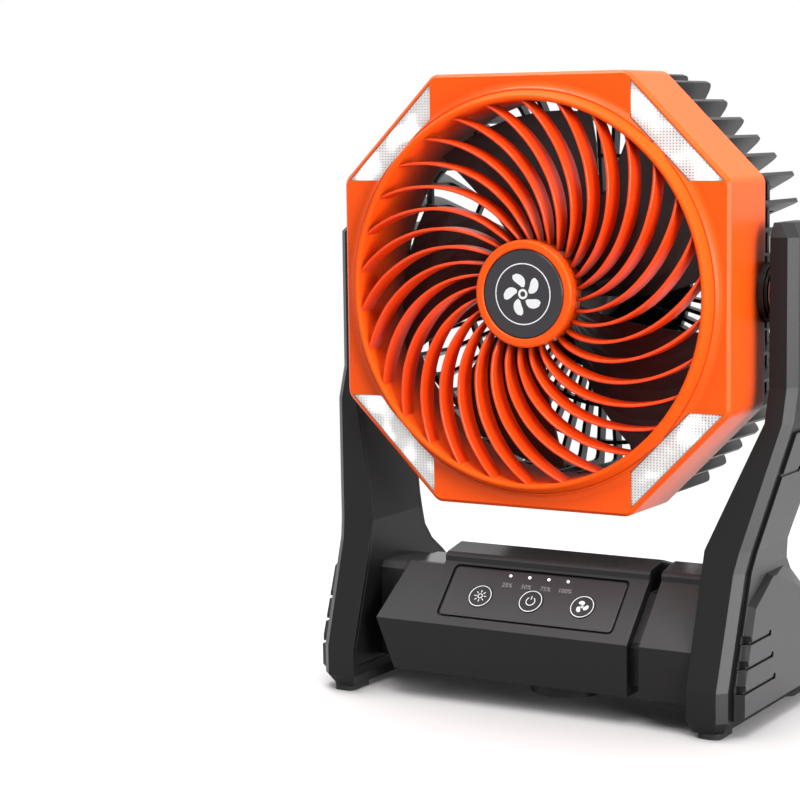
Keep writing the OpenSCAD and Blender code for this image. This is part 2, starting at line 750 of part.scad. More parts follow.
module side_cover(s) {
    base_x = foot_out + cover_t;
    color(black) right_or_left(s) difference() {
        union() {
            intersection() {
                side_slab(foot_out - 5, arm_out + 6)
                    polygon(concat(
                        [for (z = cover_levels) [cover_front(z), z]],
                        [for (z = reversed(cover_levels)) [cover_rear(z), z]]));
                translate([0, stand_d, 0])
                    rotate([90, 0, 0])
                        linear_extrude(2 * stand_d)
                            polygon(x_band(0, cover_t));
            }
            hull() {
                side_slab(base_x - 0.4, base_x - 0.38)
                    polygon(panel_outline(0));
                side_slab(base_x + cover_step - 0.02, base_x + cover_step)
                    polygon(panel_outline(2));
            }
        }
        for (k = [0 : slit_count - 1]) {
            z = ankle_z - 1 + k * slit_pitch;
            y_end = cover_front(ankle_z) + 40 - k * 3;
            translate([base_x + cover_step - 1.5, cover_front(z) - 5, z - slit_h / 2])
                cube([5, y_end - cover_front(z) + 5, slit_h]);
            x_rod(1.6, base_x + cover_step - 1.5, base_x + 6, y_end, z + 0.6);
            translate([base_x - 0.2, cover_front(z) - 5, z - slit_h / 2])
                cube([5, 8, 4]);
        }
        upper_slit();
        for (p = arm_screw_at)
            x_rod(3.2, foot_out - 1, foot_out + cover_t - 0.8, p[0], p[1]);
    }
}
// A single slit with a round end, higher up where the cover leans out.
module upper_slit() {
    z = knee_z + 36;
    x = outer_x(z) + cover_t - 1;
    y0 = cover_front(z) - 5;
    y1 = cover_front(z) + 21;
    translate([x, y0, z - slit_h / 2])
        cube([5, y1 - y0, slit_h]);
    x_rod(1.6, x, x + 5, y1, z + 0.6);
}

// Cross-section of the base, as depth and height, drawn smaller by an inset.
function base_outline(e) =
    [[base_front + e, base_z + e], [base_front + e, edge_z - e * 0.4],
     [ridge_front + e * 0.6, slope_top - e], [ridge_front + e, ridge_z - 4.4 - e],
     [ridge_front + 0.8 + e, ridge_z - 3.2 - e], [ridge_front + 2.4 + e, ridge_z - 2.4 - e],
     [ridge_front + ridge_face, ridge_z + 0.4 - e], [base_back - 14, ridge_z - 9 - e],
     [base_back - 2 - e, ridge_z - 17 - e], [base_back - e, base_z + e]];
function wing_outline(e) =
    [[base_front + e, base_z + e], [base_front + e, edge_z - e * 0.4],
     [wing_front + e * 0.6, wing_top - e], [wing_front + wing_flat, wing_top - e],
     [base_back - 2 - e, wing_top - 12 - e], [base_back - e, base_z + e]];
// The left arm is joined by a link that lies further back than the base's front.
function link_outline(e) =
    [[base_front + link_set + e, base_z + e], [base_front + link_set + e, link_top - e],
     [wing_front + e * 0.6, wing_top - e], [wing_front + wing_flat, wing_top - e],
     [base_back - 2 - e, wing_top - 12 - e], [base_back - e, base_z + e]];

module base_block(grow) {
    e = grow;
    side_slab(-foot_x + e, link_end + e)
        polygon(link_outline(1 + e));
    side_slab(link_end, foot_x - e)
        polygon(wing_outline(core_inset + e));
    intersection() {
        union() {
            side_slab(-base_left - 1, split_x - e)
                polygon(wing_outline(e));
            side_slab(-ridge_half + e, split_x - e)
                polygon(base_outline(e));
        }
        translate([0, stand_d, 0])
            rotate([90, 0, 0])
                linear_extrude(2 * stand_d)
                    polygon([[-base_left + 11 + e, base_z - 1], [-base_left + e, edge_z],
                             [-base_left + 7 + e, slope_top + 0.5], [-base_left + 7 + e, ridge_z + 5],
                             [split_x + 1, ridge_z + 5], [split_x + 1, base_z - 1]]);
    }
    side_slab(split_x + split_w + e, foot_x - e)
        polygon(base_outline(e));
}

module slope_place() {
    translate(slope_mid)
        rotate([slope_a, 0, 0])
            children();
}
module plate(w, l, r, h) {
    p = [[w / 2, l / 2], [-w / 2, l / 2], [-w / 2, -l / 2], [w / 2, -l / 2]];
    linear_extrude(h)
        polygon(rounded(p, r));
}
module at_buttons() {
    for (i = [-1 : 1])
        translate([i * button_pitch, 0, 0])
            children();
}
module at_lights() {
    for (i = [0 : 3])
        translate([(i - 1.5) * led_pitch, led_up, 0])
            children();
}
base_screw_at = [
    for (x = [link_end, split_x - 9], y = [base_front + 25.5, base_back - 8]) [x, y]];

module z_rod(r, z0, z1) {
    translate([0, 0, z0])
        cylinder(r = r, h = z1 - z0);
}

module base_upper() {
    color(black) difference() {
        intersection() {
            base_block(0);
            translate([-foot_in, -stand_d, edge_z])
                cube([2 * foot_in, 2 * stand_d, 60]);
        }
        difference() {
            intersection() {
                base_block(wall);
                translate([-foot_in, -stand_d, edge_z - 1])
                    cube([2 * foot_in, 2 * stand_d, 60]);
            }
            for (p = base_screw_at)
                translate([p[0], p[1], 0])
                    z_rod(4, edge_z - 1, ridge_z);
        }
        for (p = base_screw_at)
            translate([p[0], p[1], 0])
                z_rod(screw_r - 0.3, edge_z - 1, edge_z + 12);
        slope_place() {
            translate([0, panel_up, -panel_pocket])
                plate(panel_w + 2 * panel_gap, panel_l + 2 * panel_gap, 3, 10);
            at_buttons() z_rod(button_r - 1, -10, 1);
            at_lights() z_rod(led_r + fit, -10, 1);
        }
    }
}

port_z = base_z + 15;
port_l = 14;
usb_a_x = 22;
usb_c_x = -8;
cell_gap = 1.4;
cell_right = split_x - wall - 0.6;
cell_left = base_left - 14.8;
cell_l = (cell_right + cell_left - cell_gap) / 2;
cell_back = base_back - port_l - 2.4 - cell_r;
module base_lower() {
    color(black) difference() {
        union() {
            difference() {
                intersection() {
                    base_block(0);
                    translate([-foot_in, -stand_d, 0])
                        cube([2 * foot_in, 2 * stand_d, edge_z]);
                }
                difference() {
                    intersection() {
                        base_block(wall);
                        translate([-foot_in, -stand_d, 0])
                            cube([2 * foot_in, 2 * stand_d, edge_z + 1]);
                    }
                    for (p = base_screw_at)
                        translate([p[0], p[1], 0])
                            z_rod(4, base_z, edge_z);
                }
            }
            for (s = [-1, 1])
                translate([hook_x + s * lug_gap, hook_y, base_z])
                    rotate([0, 90, 0])
                        hook_lug();
            translate([split_x + split_w + 8, base_front + 3, base_z - 4])
                cube([18, 12, 5]);
        }
        for (s = [-1, 1])
            for (p = arm_screw_at)
                right_or_left(s)
                    x_rod(screw_r - 0.3, foot_x - 12, foot_x + 1, p[0], p[1]);
        x_rod(pin_r + 0.02, hook_x - lug_gap - 4, hook_x + lug_gap + 4, hook_y, hook_z);
        for (p = base_screw_at)
            translate([p[0], p[1], 0]) {
                z_rod(screw_r + 0.2, base_z - 1, edge_z + 1);
                z_rod(3.2, base_z - 1, base_z + 3);
            }
        translate([usb_a_x, base_back, port_z])
            cube([14.4, 12, 7.4], center = true);
        translate([usb_c_x, base_back, port_z])
            cube([10.4, 12, 4.6], center = true);
    }
}
// The lug hangs below the base and is rounded about the pin.
module hook_lug() {
    translate([0, 0, -1.5])
        linear_extrude(3)
            union() {
                translate([base_z - hook_z, 0])
                    circle(r = lug_r, $fn = 48);
                translate([-0.5, -lug_r])
                    square([base_z - hook_z + 0.5, 2 * lug_r]);
            }
}

module base_screws() {
    color(steel)
        for (p = base_screw_at)
            translate([p[0], p[1], 0]) {
                z_rod(screw_r - 0.35, base_z + 3, edge_z + 10);
                z_rod(2.8, base_z + 1.2, base_z + 3);
            }
}
module arm_screws() {
    color(steel)
        for (s = [-1, 1])
            for (p = arm_screw_at)
                right_or_left(s) {
                    x_rod(screw_r - 0.35, foot_x - 10, foot_out - 5, p[0], p[1]);
                    x_rod(2.8, foot_out - 5, foot_out - 3.2, p[0], p[1]);
                }
}
module foot_pads() {
    pad_x = (foot_x + foot_out) / 2 - 0.5;
    color("#1B1B1C")
        for (sx = [-1, 1], sy = [-1, 1])
            translate([sx * pad_x, sy * (stand_d / 2 - 14), 0])
                plate(12, 20, 4, pad_h);
}

module control_panel() {
    color(grey) slope_place() difference() {
        translate([0, panel_up, -panel_pocket])
            plate(panel_w, panel_l, 2, panel_t);
        at_buttons() z_rod(button_r + slide_gap / 2, -3, 2);
        at_lights() z_rod(led_r + fit, -3, 2);
    }
}
module charge_lights() {
    color("white") slope_place() at_lights() z_rod(led_r, -board_drop + pcb_t, -0.2);
}
module push_button(i) {
    color("#3A383A") slope_place() translate([i * button_pitch, 0, 0]) {
        z_rod(button_r, -panel_pocket + 0.62, -0.05);
        z_rod(button_r - 1.6, -board_drop + pcb_t + switch_h + button_travel + 0.09,
              -panel_pocket + 0.7);
    }
}
module main_board() {
    color("#1F6B3A") slope_place() {
        translate([0, 1, -board_drop])
            plate(board_w, board_l, 2, pcb_t);
        at_buttons()
            translate([0, 0, -board_drop + pcb_t + (switch_h - 0.01) / 2])
                cube([6, 6, switch_h + 0.01], center = true);
        for (s = [-1, 1])
            translate([s * (board_w / 2 - 7), 4, 0])
                z_rod(3, -board_drop + pcb_t - 0.1, -panel_pocket - 2.8);
    }
}
module battery_cell(i) {
    row = i > 2 ? 0 : 1;
    x1 = cell_right - (i % 2 == 1 ? cell_l + cell_gap : 0);
    color("#3E7FB8")
        x_rod(cell_r, x1 - cell_l, x1, cell_back - row * (2 * cell_r + 1), base_z + wall + cell_r + fit);
}
module usb_a_port() {
    color(steel) difference() {
        translate([usb_a_x, base_back - port_l / 2 - 0.5, port_z])
            cube([13.6, port_l, 6.8], center = true);
        translate([usb_a_x, base_back - 5, port_z])
            cube([12, 13, 5.2], center = true);
    }
}
module usb_c_port() {
    color(steel) difference() {
        translate([usb_c_x, base_back - 5, port_z])
            cube([9.2, 9, 3.6], center = true);
        translate([usb_c_x, base_back - 3, port_z])
            cube([8, 8, 2.4], center = true);
    }
}

module hook_pin() {
    color(steel) x_rod(pin_r, hook_x - lug_gap - 1.5, hook_x + lug_gap + 1.5, hook_y, hook_z);
}
// A barrel on the pin, a shank and an open ring, folded flat under the base.
module hanging_hook() {
    ring_y = -hook_neck - hook_r;
    color(black) translate([hook_x, hook_y, hook_z]) difference() {
        union() {
            x_rod(lug_r - 0.4, -lug_gap + 1.5 + slide_gap, lug_gap - 1.5 - slide_gap, 0, 0);
            translate([0, 0, -hook_t / 2])
                linear_extrude(hook_t)
                    difference() {
                        union() {
                            translate([-hook_bar, ring_y + hook_r - 2])
                                square([2 * hook_bar, hook_neck + 2]);
                            translate([0, ring_y])
                                circle(r = hook_r);
                        }
                        translate([0, ring_y])
                            circle(r = hook_r - hook_bar);
                        translate([0, ring_y + 3])
                            square([hook_r + 1, 8]);
                    }
        }
        x_rod(pin_r + running, -lug_gap, lug_gap, 0, 0);
    }
}

front_bezel();
spiral_grille();
hub_badge();
rear_housing();
head_screws();
motor();
motor_screws();
tilt_boss(-1);  // tilt_boss_left
tilt_boss(1);  // tilt_boss_right
for (i = [1 : 4])
    led_lens(i);
for (i = [1 : 4])
    led_board(i);
impeller();
motor_shaft();
impeller_nut();
arm(-1);  // left_arm
arm(1);  // right_arm
arm_liner(-1);  // left_arm_liner
arm_liner(1);  // right_arm_liner
side_cover(-1);  // left_side_cover
side_cover(1);  // right_side_cover
pivot_bolts();
friction_washers();
base_upper();
base_lower();
base_screws();
arm_screws();
foot_pads();
control_panel();
charge_lights();
main_board();
usb_a_port();
usb_c_port();
for (i = [1 : cell_count])
    battery_cell(i);
push_button(-1);  // light_button
push_button(0);  // power_button
push_button(1);  // fan_button
hook_pin();
hanging_hook();
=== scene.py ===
"""Finishes, printed marks and fine moulded detail of a portable camping fan.

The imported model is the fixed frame. Each class below dresses one sub-assembly: it gives the
solids their material and adds the pieces that are too fine for the frame.
"""

from __future__ import annotations

import json
import logging
import math
from dataclasses import dataclass, replace
from enum import Enum
from typing import Callable, Iterable, Sequence

import bmesh
import bpy
from mathutils import Matrix, Vector

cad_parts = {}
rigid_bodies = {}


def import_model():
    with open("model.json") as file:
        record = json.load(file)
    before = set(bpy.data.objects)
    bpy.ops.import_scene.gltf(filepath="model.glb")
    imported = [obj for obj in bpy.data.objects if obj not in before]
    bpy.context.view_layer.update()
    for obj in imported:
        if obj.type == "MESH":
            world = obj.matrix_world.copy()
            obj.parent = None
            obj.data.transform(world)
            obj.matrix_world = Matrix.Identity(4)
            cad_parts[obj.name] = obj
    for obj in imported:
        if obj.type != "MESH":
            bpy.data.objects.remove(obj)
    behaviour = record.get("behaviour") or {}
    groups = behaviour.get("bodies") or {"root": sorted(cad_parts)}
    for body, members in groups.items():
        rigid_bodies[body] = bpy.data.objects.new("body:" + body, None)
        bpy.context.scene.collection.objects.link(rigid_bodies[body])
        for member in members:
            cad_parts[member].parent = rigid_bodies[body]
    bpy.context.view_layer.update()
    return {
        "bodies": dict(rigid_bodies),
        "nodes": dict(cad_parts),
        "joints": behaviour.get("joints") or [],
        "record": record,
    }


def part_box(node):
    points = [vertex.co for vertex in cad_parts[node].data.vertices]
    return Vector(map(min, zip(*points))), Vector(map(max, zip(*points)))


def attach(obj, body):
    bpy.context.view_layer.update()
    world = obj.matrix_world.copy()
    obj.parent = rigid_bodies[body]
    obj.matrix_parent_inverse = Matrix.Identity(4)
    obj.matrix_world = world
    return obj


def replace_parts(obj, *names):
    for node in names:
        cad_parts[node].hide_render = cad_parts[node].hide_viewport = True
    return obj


log = logging.getLogger("fan")
MM = 0.001
TURN = 2 * math.pi
RIGHT, BACKWARDS, UP = Vector((1, 0, 0)), Vector((0, 1, 0)), Vector((0, 0, 1))
WHITE = "#FFFFFF"
MATH, RANGE = "ShaderNodeMath", "ShaderNodeMapRange"
COLOUR_A, COLOUR_B, COLOUR_OUT = 6, 7, 2  # where a Mix node takes and gives its colours
SAME, THIN = 1e-6, 1e-7  # in metres: points this near are one, and a face this thin is none
HAIR = 0.02 * MM  # points closer than this along a direction lie on the same face
RECESS_MM = 0.03  # how far a recess's shadow stands off the screw's head
CROSS_WIDTH = 0.36  # width of a cross recess's bar, as a share of its arm
Source = bpy.types.NodeSocket
Tree = bpy.types.NodeTree
Pair = tuple[float, float]


def linear(hex_colour: str) -> tuple[float, float, float, float]:
    """Turn an sRGB hex colour into Blender's linear colour.

    Args:
        hex_colour: six hex digits after a #.

    Returns:
        Red, green, blue and a full fourth channel, each from 0 to 1.
    """
    parts = [int(hex_colour[i : i + 2], 16) / 255 for i in (1, 3, 5)]
    red, green, blue = (p / 12.92 if p <= 0.04045 else ((p + 0.055) / 1.055) ** 2.4 for p in parts)
    return red, green, blue, 1.0


def add(tree: Tree, kind: str, inputs: Sequence | dict = (), **settings: object) -> Sequence[Source]:
    """Add one node, make its settings and fill its inputs.

    Args:
        tree: the node tree.
        kind: the node's type name.
        inputs: what goes in, in order or by input name or number: a value, or another node's output.
        **settings: the node's own settings.

    Returns:
        The new node's outputs.
    """
    made = tree.nodes.new(kind)
    for name, value in settings.items():
        setattr(made, name, value)
    for place, value in inputs.items() if isinstance(inputs, dict) else enumerate(inputs):
        if isinstance(value, bpy.types.NodeSocket):
            tree.links.new(value, made.inputs[place])
        else:
            made.inputs[place].default_value = value
    return made.outputs


class PaintedLightByFace(Enum):
    """Which faces of a part keep its full tone while the others are painted darker: painted light and shade
    that follow the way a face looks.
    """

    ALL = "all faces"
    SIDEWAYS = "faces that look left or right"
    UPWARD = "faces that look up"
    CHAMFER = "upright faces that look halfway between the sides and the front or back"

    def share(self, tree: Tree) -> Source:
        """Return how far each face looks this way, from 0 to 1.

        Args:
            tree: the material's tree.

        Returns:
            The share as a link source.
        """
        way = add(tree, "ShaderNodeTexCoord")["Normal"]
        x, y, z = add(tree, "ShaderNodeSeparateXYZ", (way,))
        if self is PaintedLightByFace.UPWARD:
            return z
        if self is PaintedLightByFace.SIDEWAYS:
            return add(tree, MATH, (x,), operation="ABSOLUTE")[0]
        both = add(tree, MATH, (x, y), operation="MULTIPLY")[0]
        size = add(tree, MATH, (both,), operation="ABSOLUTE")[0]
        # The product is a half at most, on a face that looks just halfway.
        return add(tree, MATH, (size, 2.0), operation="MULTIPLY")[0]


class Surface:
    """What a piece is made of, as a material that is drawn the first time it is asked for."""

    name: str

    def look(self, tree: Tree) -> dict:
        """Draw this surface in an empty tree and return what its shader takes, by input name."""
        raise NotImplementedError

    def material(self) -> bpy.types.Material:
        """Return this surface as a material.

        Returns:
            The material of this name, drawn if there is none yet.
        """
        known = bpy.data.materials.get(self.name)
        if known:
            return known
        made = bpy.data.materials.new(self.name)
        made.use_nodes = True
        tree = made.node_tree
        tree.nodes.clear()
        shader = add(tree, "ShaderNodeBsdfPrincipled", self.look(tree))[0]
        add(tree, "ShaderNodeOutputMaterial", (shader,))
        return made


@dataclass(frozen=True)
class Finish(Surface):
    """One surface: its colour, gloss and fine relief, with every pattern in millimetres, and the light and
    shade painted into its colour.

    A polished zone and a zone of painted shade are each given as the depths along Y where they start and are
    complete. The painted shade's levels are shares of the full tone: in a gap of the given width, found by
    ambient occlusion, further back along Y, and on faces that look away from the chosen direction, which are
    painted darker.
    """

    name: str
    colour: str
    shade: str
    roughness: float = 0.45
    rough_spread: float = 0.06
    metallic: float = 0.0
    ior: float = 1.52
    specular: float = 0.5
    grain_mm: float = 0.5
    grain_depth_mm: float = 0.02
    grain_range: Pair = (0.3, 0.7)
    cloud_mm: float = 60.0
    edge_mm: float = 0.5
    stretch: tuple[float, float, float] = (1.0, 1.0, 1.0)
    polished_from_mm: Pair | None = None
    polished_roughness: float = 0.16
    # Painted shade further back along Y: where it starts and is complete, and the level it reaches.
    painted_depth_shade_from_mm: Pair | None = None
    painted_depth_shade_level: float = 0.25
    # Painted light and shade by direction: faces that look the chosen way keep their tone, and the others are
    # painted darker.
    facing: PaintedLightByFace = PaintedLightByFace.ALL
    facing_range: Pair = (0.5, 0.7)
    painted_away_shade_level: float = 1.0
    # Painted shade in gaps and corners, found by ambient occlusion within this distance.
    painted_gap_shade_mm: float = 7.0
    painted_gap_shade_range: Pair = (0.25, 0.9)
    painted_gap_shade_level: float = 0.35

    @staticmethod
    def behind(tree: Tree, zone_mm: Pair, levels: Pair) -> Source:
        """Return a level that changes along Y, from the front to the back.

        Args:
            tree: the material's tree.
            zone_mm: the depths where the change starts and ends.
            levels: the level before and after it.

        Returns:
            The level as a link source.
        """
        place = add(tree, "ShaderNodeTexCoord")["Object"]
        depth = add(tree, "ShaderNodeSeparateXYZ", (place,))["Y"]
        start, end = (value * MM for value in zone_mm)
        return add(tree, RANGE, (depth, start, end, *levels))[0]

    def gloss(self, tree: Tree, grain: Source) -> Source:
        """Return the roughness, which follows the grain and drops in the polished zone.

        Args:
            tree: the material's tree.
            grain: the grain's height.

        Returns:
            The roughness as a link source.
        """
        low, high = self.roughness - self.rough_spread, self.roughness + self.rough_spread
        rough = add(tree, RANGE, (grain, *self.grain_range, low, high))[0]
        if self.polished_from_mm is None:
            return rough
        share = self.behind(tree, self.polished_from_mm, (0.0, 1.0))
        ends = {0: share, 2: rough, 3: self.polished_roughness}
        return add(tree, "ShaderNodeMix", ends, data_type="FLOAT")[0]

    def painted_shade_share(self, tree: Tree) -> Source:
        """Return the painted shade as a share of the full tone: 1 on a free face, less in a gap, further back
        along Y, or on a face that looks away.

        Args:
            tree: the material's tree.

        Returns:
            The share of the full tone as a link source.
        """
        around = add(tree, "ShaderNodeAmbientOcclusion", {"Distance": self.painted_gap_shade_mm * MM}, samples=4)["AO"]
        painted_shadow = (around, *self.painted_gap_shade_range, self.painted_gap_shade_level, 1.0)
        share = add(tree, RANGE, painted_shadow)[0]
        others = []
        if self.painted_depth_shade_from_mm is not None:
            others.append(self.behind(tree, self.painted_depth_shade_from_mm, (1.0, self.painted_depth_shade_level)))
        if self.facing is not PaintedLightByFace.ALL:
            away = (self.facing.share(tree), *self.facing_range, self.painted_away_shade_level, 1.0)
            others.append(add(tree, RANGE, away)[0])
        for other in others:
            share = add(tree, MATH, (share, other), operation="MULTIPLY")[0]
        return share

    def look(self, tree: Tree) -> dict:
        """Draw the clouded tone, the grain's relief and gloss, the rounded edges, and the shade painted into
        the colour.

        Args:
            tree: an empty tree.

        Returns:
            What the shader takes, by input name.
        """
        place = add(tree, "ShaderNodeTexCoord")["Object"]
        point = add(tree, "ShaderNodeMapping", {"Vector": place, "Scale": self.stretch})[0]
        clouds = {"Vector": place, "Scale": 1 / (self.cloud_mm * MM), "Detail": 3.0, "Roughness": 0.55}
        cloud = add(tree, "ShaderNodeTexNoise", clouds)["Fac"]
        tones = {0: cloud, COLOUR_A: linear(self.colour), COLOUR_B: linear(self.shade)}
        tone = add(tree, "ShaderNodeMix", tones, data_type="RGBA")[COLOUR_OUT]
        grains = {"Vector": point, "Scale": 1 / (self.grain_mm * MM), "Detail": 2.0, "Roughness": 0.6}
        grain = add(tree, "ShaderNodeTexNoise", grains)["Fac"]
        edge = add(tree, "ShaderNodeBevel", {"Radius": self.edge_mm * MM}, samples=6)[0]
        relief = {"Strength": 1.0, "Distance": self.grain_depth_mm * MM, "Height": grain, "Normal": edge}
        # The tone is multiplied by the painted shade: darker in gaps, further back, and on faces that look
        # away.
        parts = {0: 1.0, COLOUR_A: tone, COLOUR_B: self.painted_shade_share(tree)}
        shaded = add(tree, "ShaderNodeMix", parts, data_type="RGBA", blend_type="MULTIPLY")[COLOUR_OUT]
        return {
            "Base Color": shaded,
            "Metallic": self.metallic,
            "IOR": self.ior,
            "Specular IOR Level": self.specular,
            "Roughness": self.gloss(tree, grain),
            "Normal": add(tree, "ShaderNodeBump", relief)[0],
        }


@dataclass(frozen=True)
class Glow(Surface):
    """A small lit light with a faint cell pattern."""

    name: str
    colour: str
    strength: float
    cell_mm: float
    dim: float
    cell_range: Pair = (0.15, 0.6)
    roughness: float = 0.25

    def look(self, tree: Tree) -> dict:
        """Draw the light, a little dimmer between its cells.

        Args:
            tree: an empty tree.

        Returns:
            What the shader takes, by input name.
        """
        place = add(tree, "ShaderNodeTexCoord")["Object"]
        cells = {"Vector": place, "Scale": 1 / (self.cell_mm * MM), "Randomness": 0.15}
        distance = add(tree, "ShaderNodeTexVoronoi", cells)["Distance"]
        levels = (distance, *self.cell_range, self.strength, self.strength * self.dim)
        return {
            "Base Color": linear(self.colour),
            "Roughness": self.roughness,
            "Emission Color": linear(self.colour),
            "Emission Strength": add(tree, RANGE, levels)[0],
        }


@dataclass(frozen=True)
class LampLens(Surface):
    """A lit lens: white in patches along its middle, greyer at its rims, shaded prism by prism, and dimmed
    round its edge as a painted shadow of the gap around it.

    The lens lies in a slanted band. Its sums are the least and the greatest distance across plus up
    from the head's axis, and skew is half its length, all in metres. A fade is the power with which the
    light drops towards the rims or the ends, and the share that is lost there.
    """

    name: str = "lit_prism_lens"
    body: str = "#8E8C8A"
    roughness: float = 0.22
    dull: float = 0.45
    bright: float = 1.15
    patch_mm: float = 15.0
    patch_range: Pair = (0.43, 0.64)
    patch_low: float = 0.15
    pitch_mm: Pair = (1.7, 1.4)
    dot_shade: float = 1.1
    rim_fade: Pair = (3.0, 0.5)
    end_fade: Pair = (4.0, 0.4)
    # Painted shadow of the gap round the lens: where it starts and ends, and its level.
    painted_gap_shadow_from: Pair = (0.97, 0.9)
    painted_gap_shadow_level: float = 0.3
    height: float = 0.0
    sums: Pair = (0.0, 1.0)
    skew: float = 1.0

    def look(self, tree: Tree) -> dict:
        """Draw the lens.

        Args:
            tree: an empty tree.

        Returns:
            What the shader takes, by input name.
        """
        place = add(tree, "ShaderNodeTexCoord")["Object"]
        x, _, z = add(tree, "ShaderNodeSeparateXYZ", (place,))
        across = add(tree, MATH, (x,), operation="ABSOLUTE")[0]
        above = add(tree, MATH, (z, self.height), operation="SUBTRACT")[0]
        up = add(tree, MATH, (above,), operation="ABSOLUTE")[0]
        total = add(tree, MATH, (across, up), operation="ADD")[0]
        band = add(tree, RANGE, (total, *self.sums, -1.0, 1.0))[0]
        off_middle = add(tree, MATH, (band,), operation="ABSOLUTE")[0]
        lean = add(tree, MATH, (across, up), operation="SUBTRACT")[0]
        along = add(tree, MATH, (lean,), operation="ABSOLUTE")[0]
        off_centre = add(tree, MATH, (along, self.skew), operation="DIVIDE")[0]
        noise = {"Vector": place, "Scale": 1 / (self.patch_mm * MM), "Detail": 1.5, "Roughness": 0.5}
        patches = add(tree, "ShaderNodeTexNoise", noise)["Fac"]
        lit = add(tree, RANGE, (patches, *self.patch_range, self.patch_low, 1.0))[0]
        for off, (power, loss) in ((off_middle, self.rim_fade), (off_centre, self.end_fade)):
            fade = add(tree, MATH, (off, power), operation="POWER")[0]
            lost = add(tree, MATH, (fade, loss), operation="MULTIPLY")[0]
            lit = add(tree, MATH, (lit, lost), operation="SUBTRACT")[0]
        lit = add(tree, MATH, (lit, 0.0), operation="MAXIMUM")[0]
        dots = add(tree, MATH, (self.dot_shade, lit), operation="SUBTRACT")[0]
        for part, pitch in zip((x, z), self.pitch_mm):
            angle = add(tree, MATH, (part, TURN / (pitch * MM)), operation="MULTIPLY")[0]
            wave = add(tree, MATH, (angle,), operation="SINE")[0]
            crest = add(tree, MATH, (wave, 0.0), operation="MAXIMUM")[0]
            dots = add(tree, MATH, (dots, crest), operation="MULTIPLY")[0]
        level = add(tree, RANGE, (lit, 0.0, 1.0, self.dull, self.bright))[0]
        dotted = add(tree, MATH, (level, dots), operation="SUBTRACT")[0]
        shaded = add(tree, MATH, (dotted, 0.0), operation="MAXIMUM")[0]
        # A thin dim line round the edge is a painted shadow of the gap around the lens.
        edge = add(tree, MATH, (off_middle, off_centre), operation="MAXIMUM")[0]
        border = add(tree, RANGE, (edge, *self.painted_gap_shadow_from, self.painted_gap_shadow_level, 1.0))[0]
        return {
            "Base Color": linear(self.body),
            "Roughness": self.roughness,
            "Emission Color": linear(WHITE),
            "Emission Strength": add(tree, MATH, (shaded, border), operation="MULTIPLY")[0],
        }


METAL_IOR = 1.5  # a metal keeps the shader's own value

# Every finish below is painted darker in narrow gaps and corners, as painted shade, unless it sets that shade
# itself.
# A moulded or cast surface's grain is really about 0.1 mm wide. That is too fine to show, so the
# finishes below draw it several times as coarse, mostly from 0.35 to 0.7 mm wide.

# Moulded ABS in safety orange: a satin skin with a very fine spark texture, painted darker in gaps up to 13
# mm wide, such as beside the arms, as painted shade.
ORANGE_ABS = Finish(
    "orange_abs",
    "#FF5B12",
    "#FA540E",
    roughness=0.36,
    specular=0.2,
    grain_mm=0.45,
    grain_depth_mm=0.006,
    painted_gap_shade_mm=13.0,
    painted_gap_shade_level=0.08,
)
# The same ABS on the grille, whose polished vanes shine more along their edges.
ORANGE_VANES = Finish(
    "orange_abs_polished",
    "#FB4A10",
    "#F2430C",
    roughness=0.3,
    specular=0.4,
    rough_spread=0.02,
    grain_mm=3.0,
    grain_depth_mm=0.002,
    edge_mm=0.12,
)
# The duct behind the grille, rougher and less glossy, with painted shade: darker in its narrow gaps and, as
# the grille sets it, further back in the duct.
ORANGE_DUCT = replace(
    ORANGE_ABS, name="orange_abs_duct", roughness=0.6, specular=0.1, painted_gap_shade_mm=4.0, painted_gap_shade_level=0.7
)
# Black ABS with a fine spark texture: dark, with soft grey highlights, and painted darker in gaps and nooks
# up to 22 mm wide, as painted shade.
BLACK_ABS = Finish(
    "black_abs",
    "#212021",
    "#1E1D1E",
    roughness=0.4,
    specular=0.3,
    grain_mm=0.4,
    grain_depth_mm=0.014,
    painted_gap_shade_mm=22.0,
    painted_gap_shade_level=0.2,
)
# The lower half of the base, and the hook: a darker copy of the same black ABS, painted darker as shade.
BOTTOM_ABS_PAINTED_DARK = replace(BLACK_ABS, name="black_abs_painted_dark_lower", colour="#191819", shade="#171617", specular=0.2)
# The arms: the same ABS, with their upright chamfers painted lighter as a painted highlight, and their other
# faces painted darker as painted shade.
ARM_ABS = replace(
    BLACK_ABS,
    name="black_abs_arms",
    colour="#3A393A",
    shade="#363536",
    specular=0.2,
    facing=PaintedLightByFace.CHAMFER,
    facing_range=(0.4, 0.9),
    painted_away_shade_level=0.2,
)
# The finned rear housing: its upward faces are painted lighter and its other faces darker, as painted light
# from above, with painted shade in its gaps.
HOUSING_ABS = replace(
    BLACK_ABS,
    name="black_abs_housing",
    colour="#2E2D2E",
    shade="#2A292A",
    painted_gap_shade_mm=9.0,
    facing=PaintedLightByFace.UPWARD,
    facing_range=(0.2, 0.6),
    painted_away_shade_level=0.3,
)
# The base's upper half, smoother and polished from the ridge backwards: its slope and other upward faces are
# painted lighter and its other faces darker, as painted light from above, with painted shade in its gaps.
BASE_ABS = Finish(
    "black_abs_part_polished",
    "#3A393A",
    "#373637",
    roughness=0.36,
    specular=0.24,
    grain_depth_mm=0.006,
    facing=PaintedLightByFace.UPWARD,
    facing_range=(0.2, 0.5),
    painted_away_shade_level=0.3,
    painted_gap_shade_mm=10.0,
    painted_gap_shade_level=0.3,
)
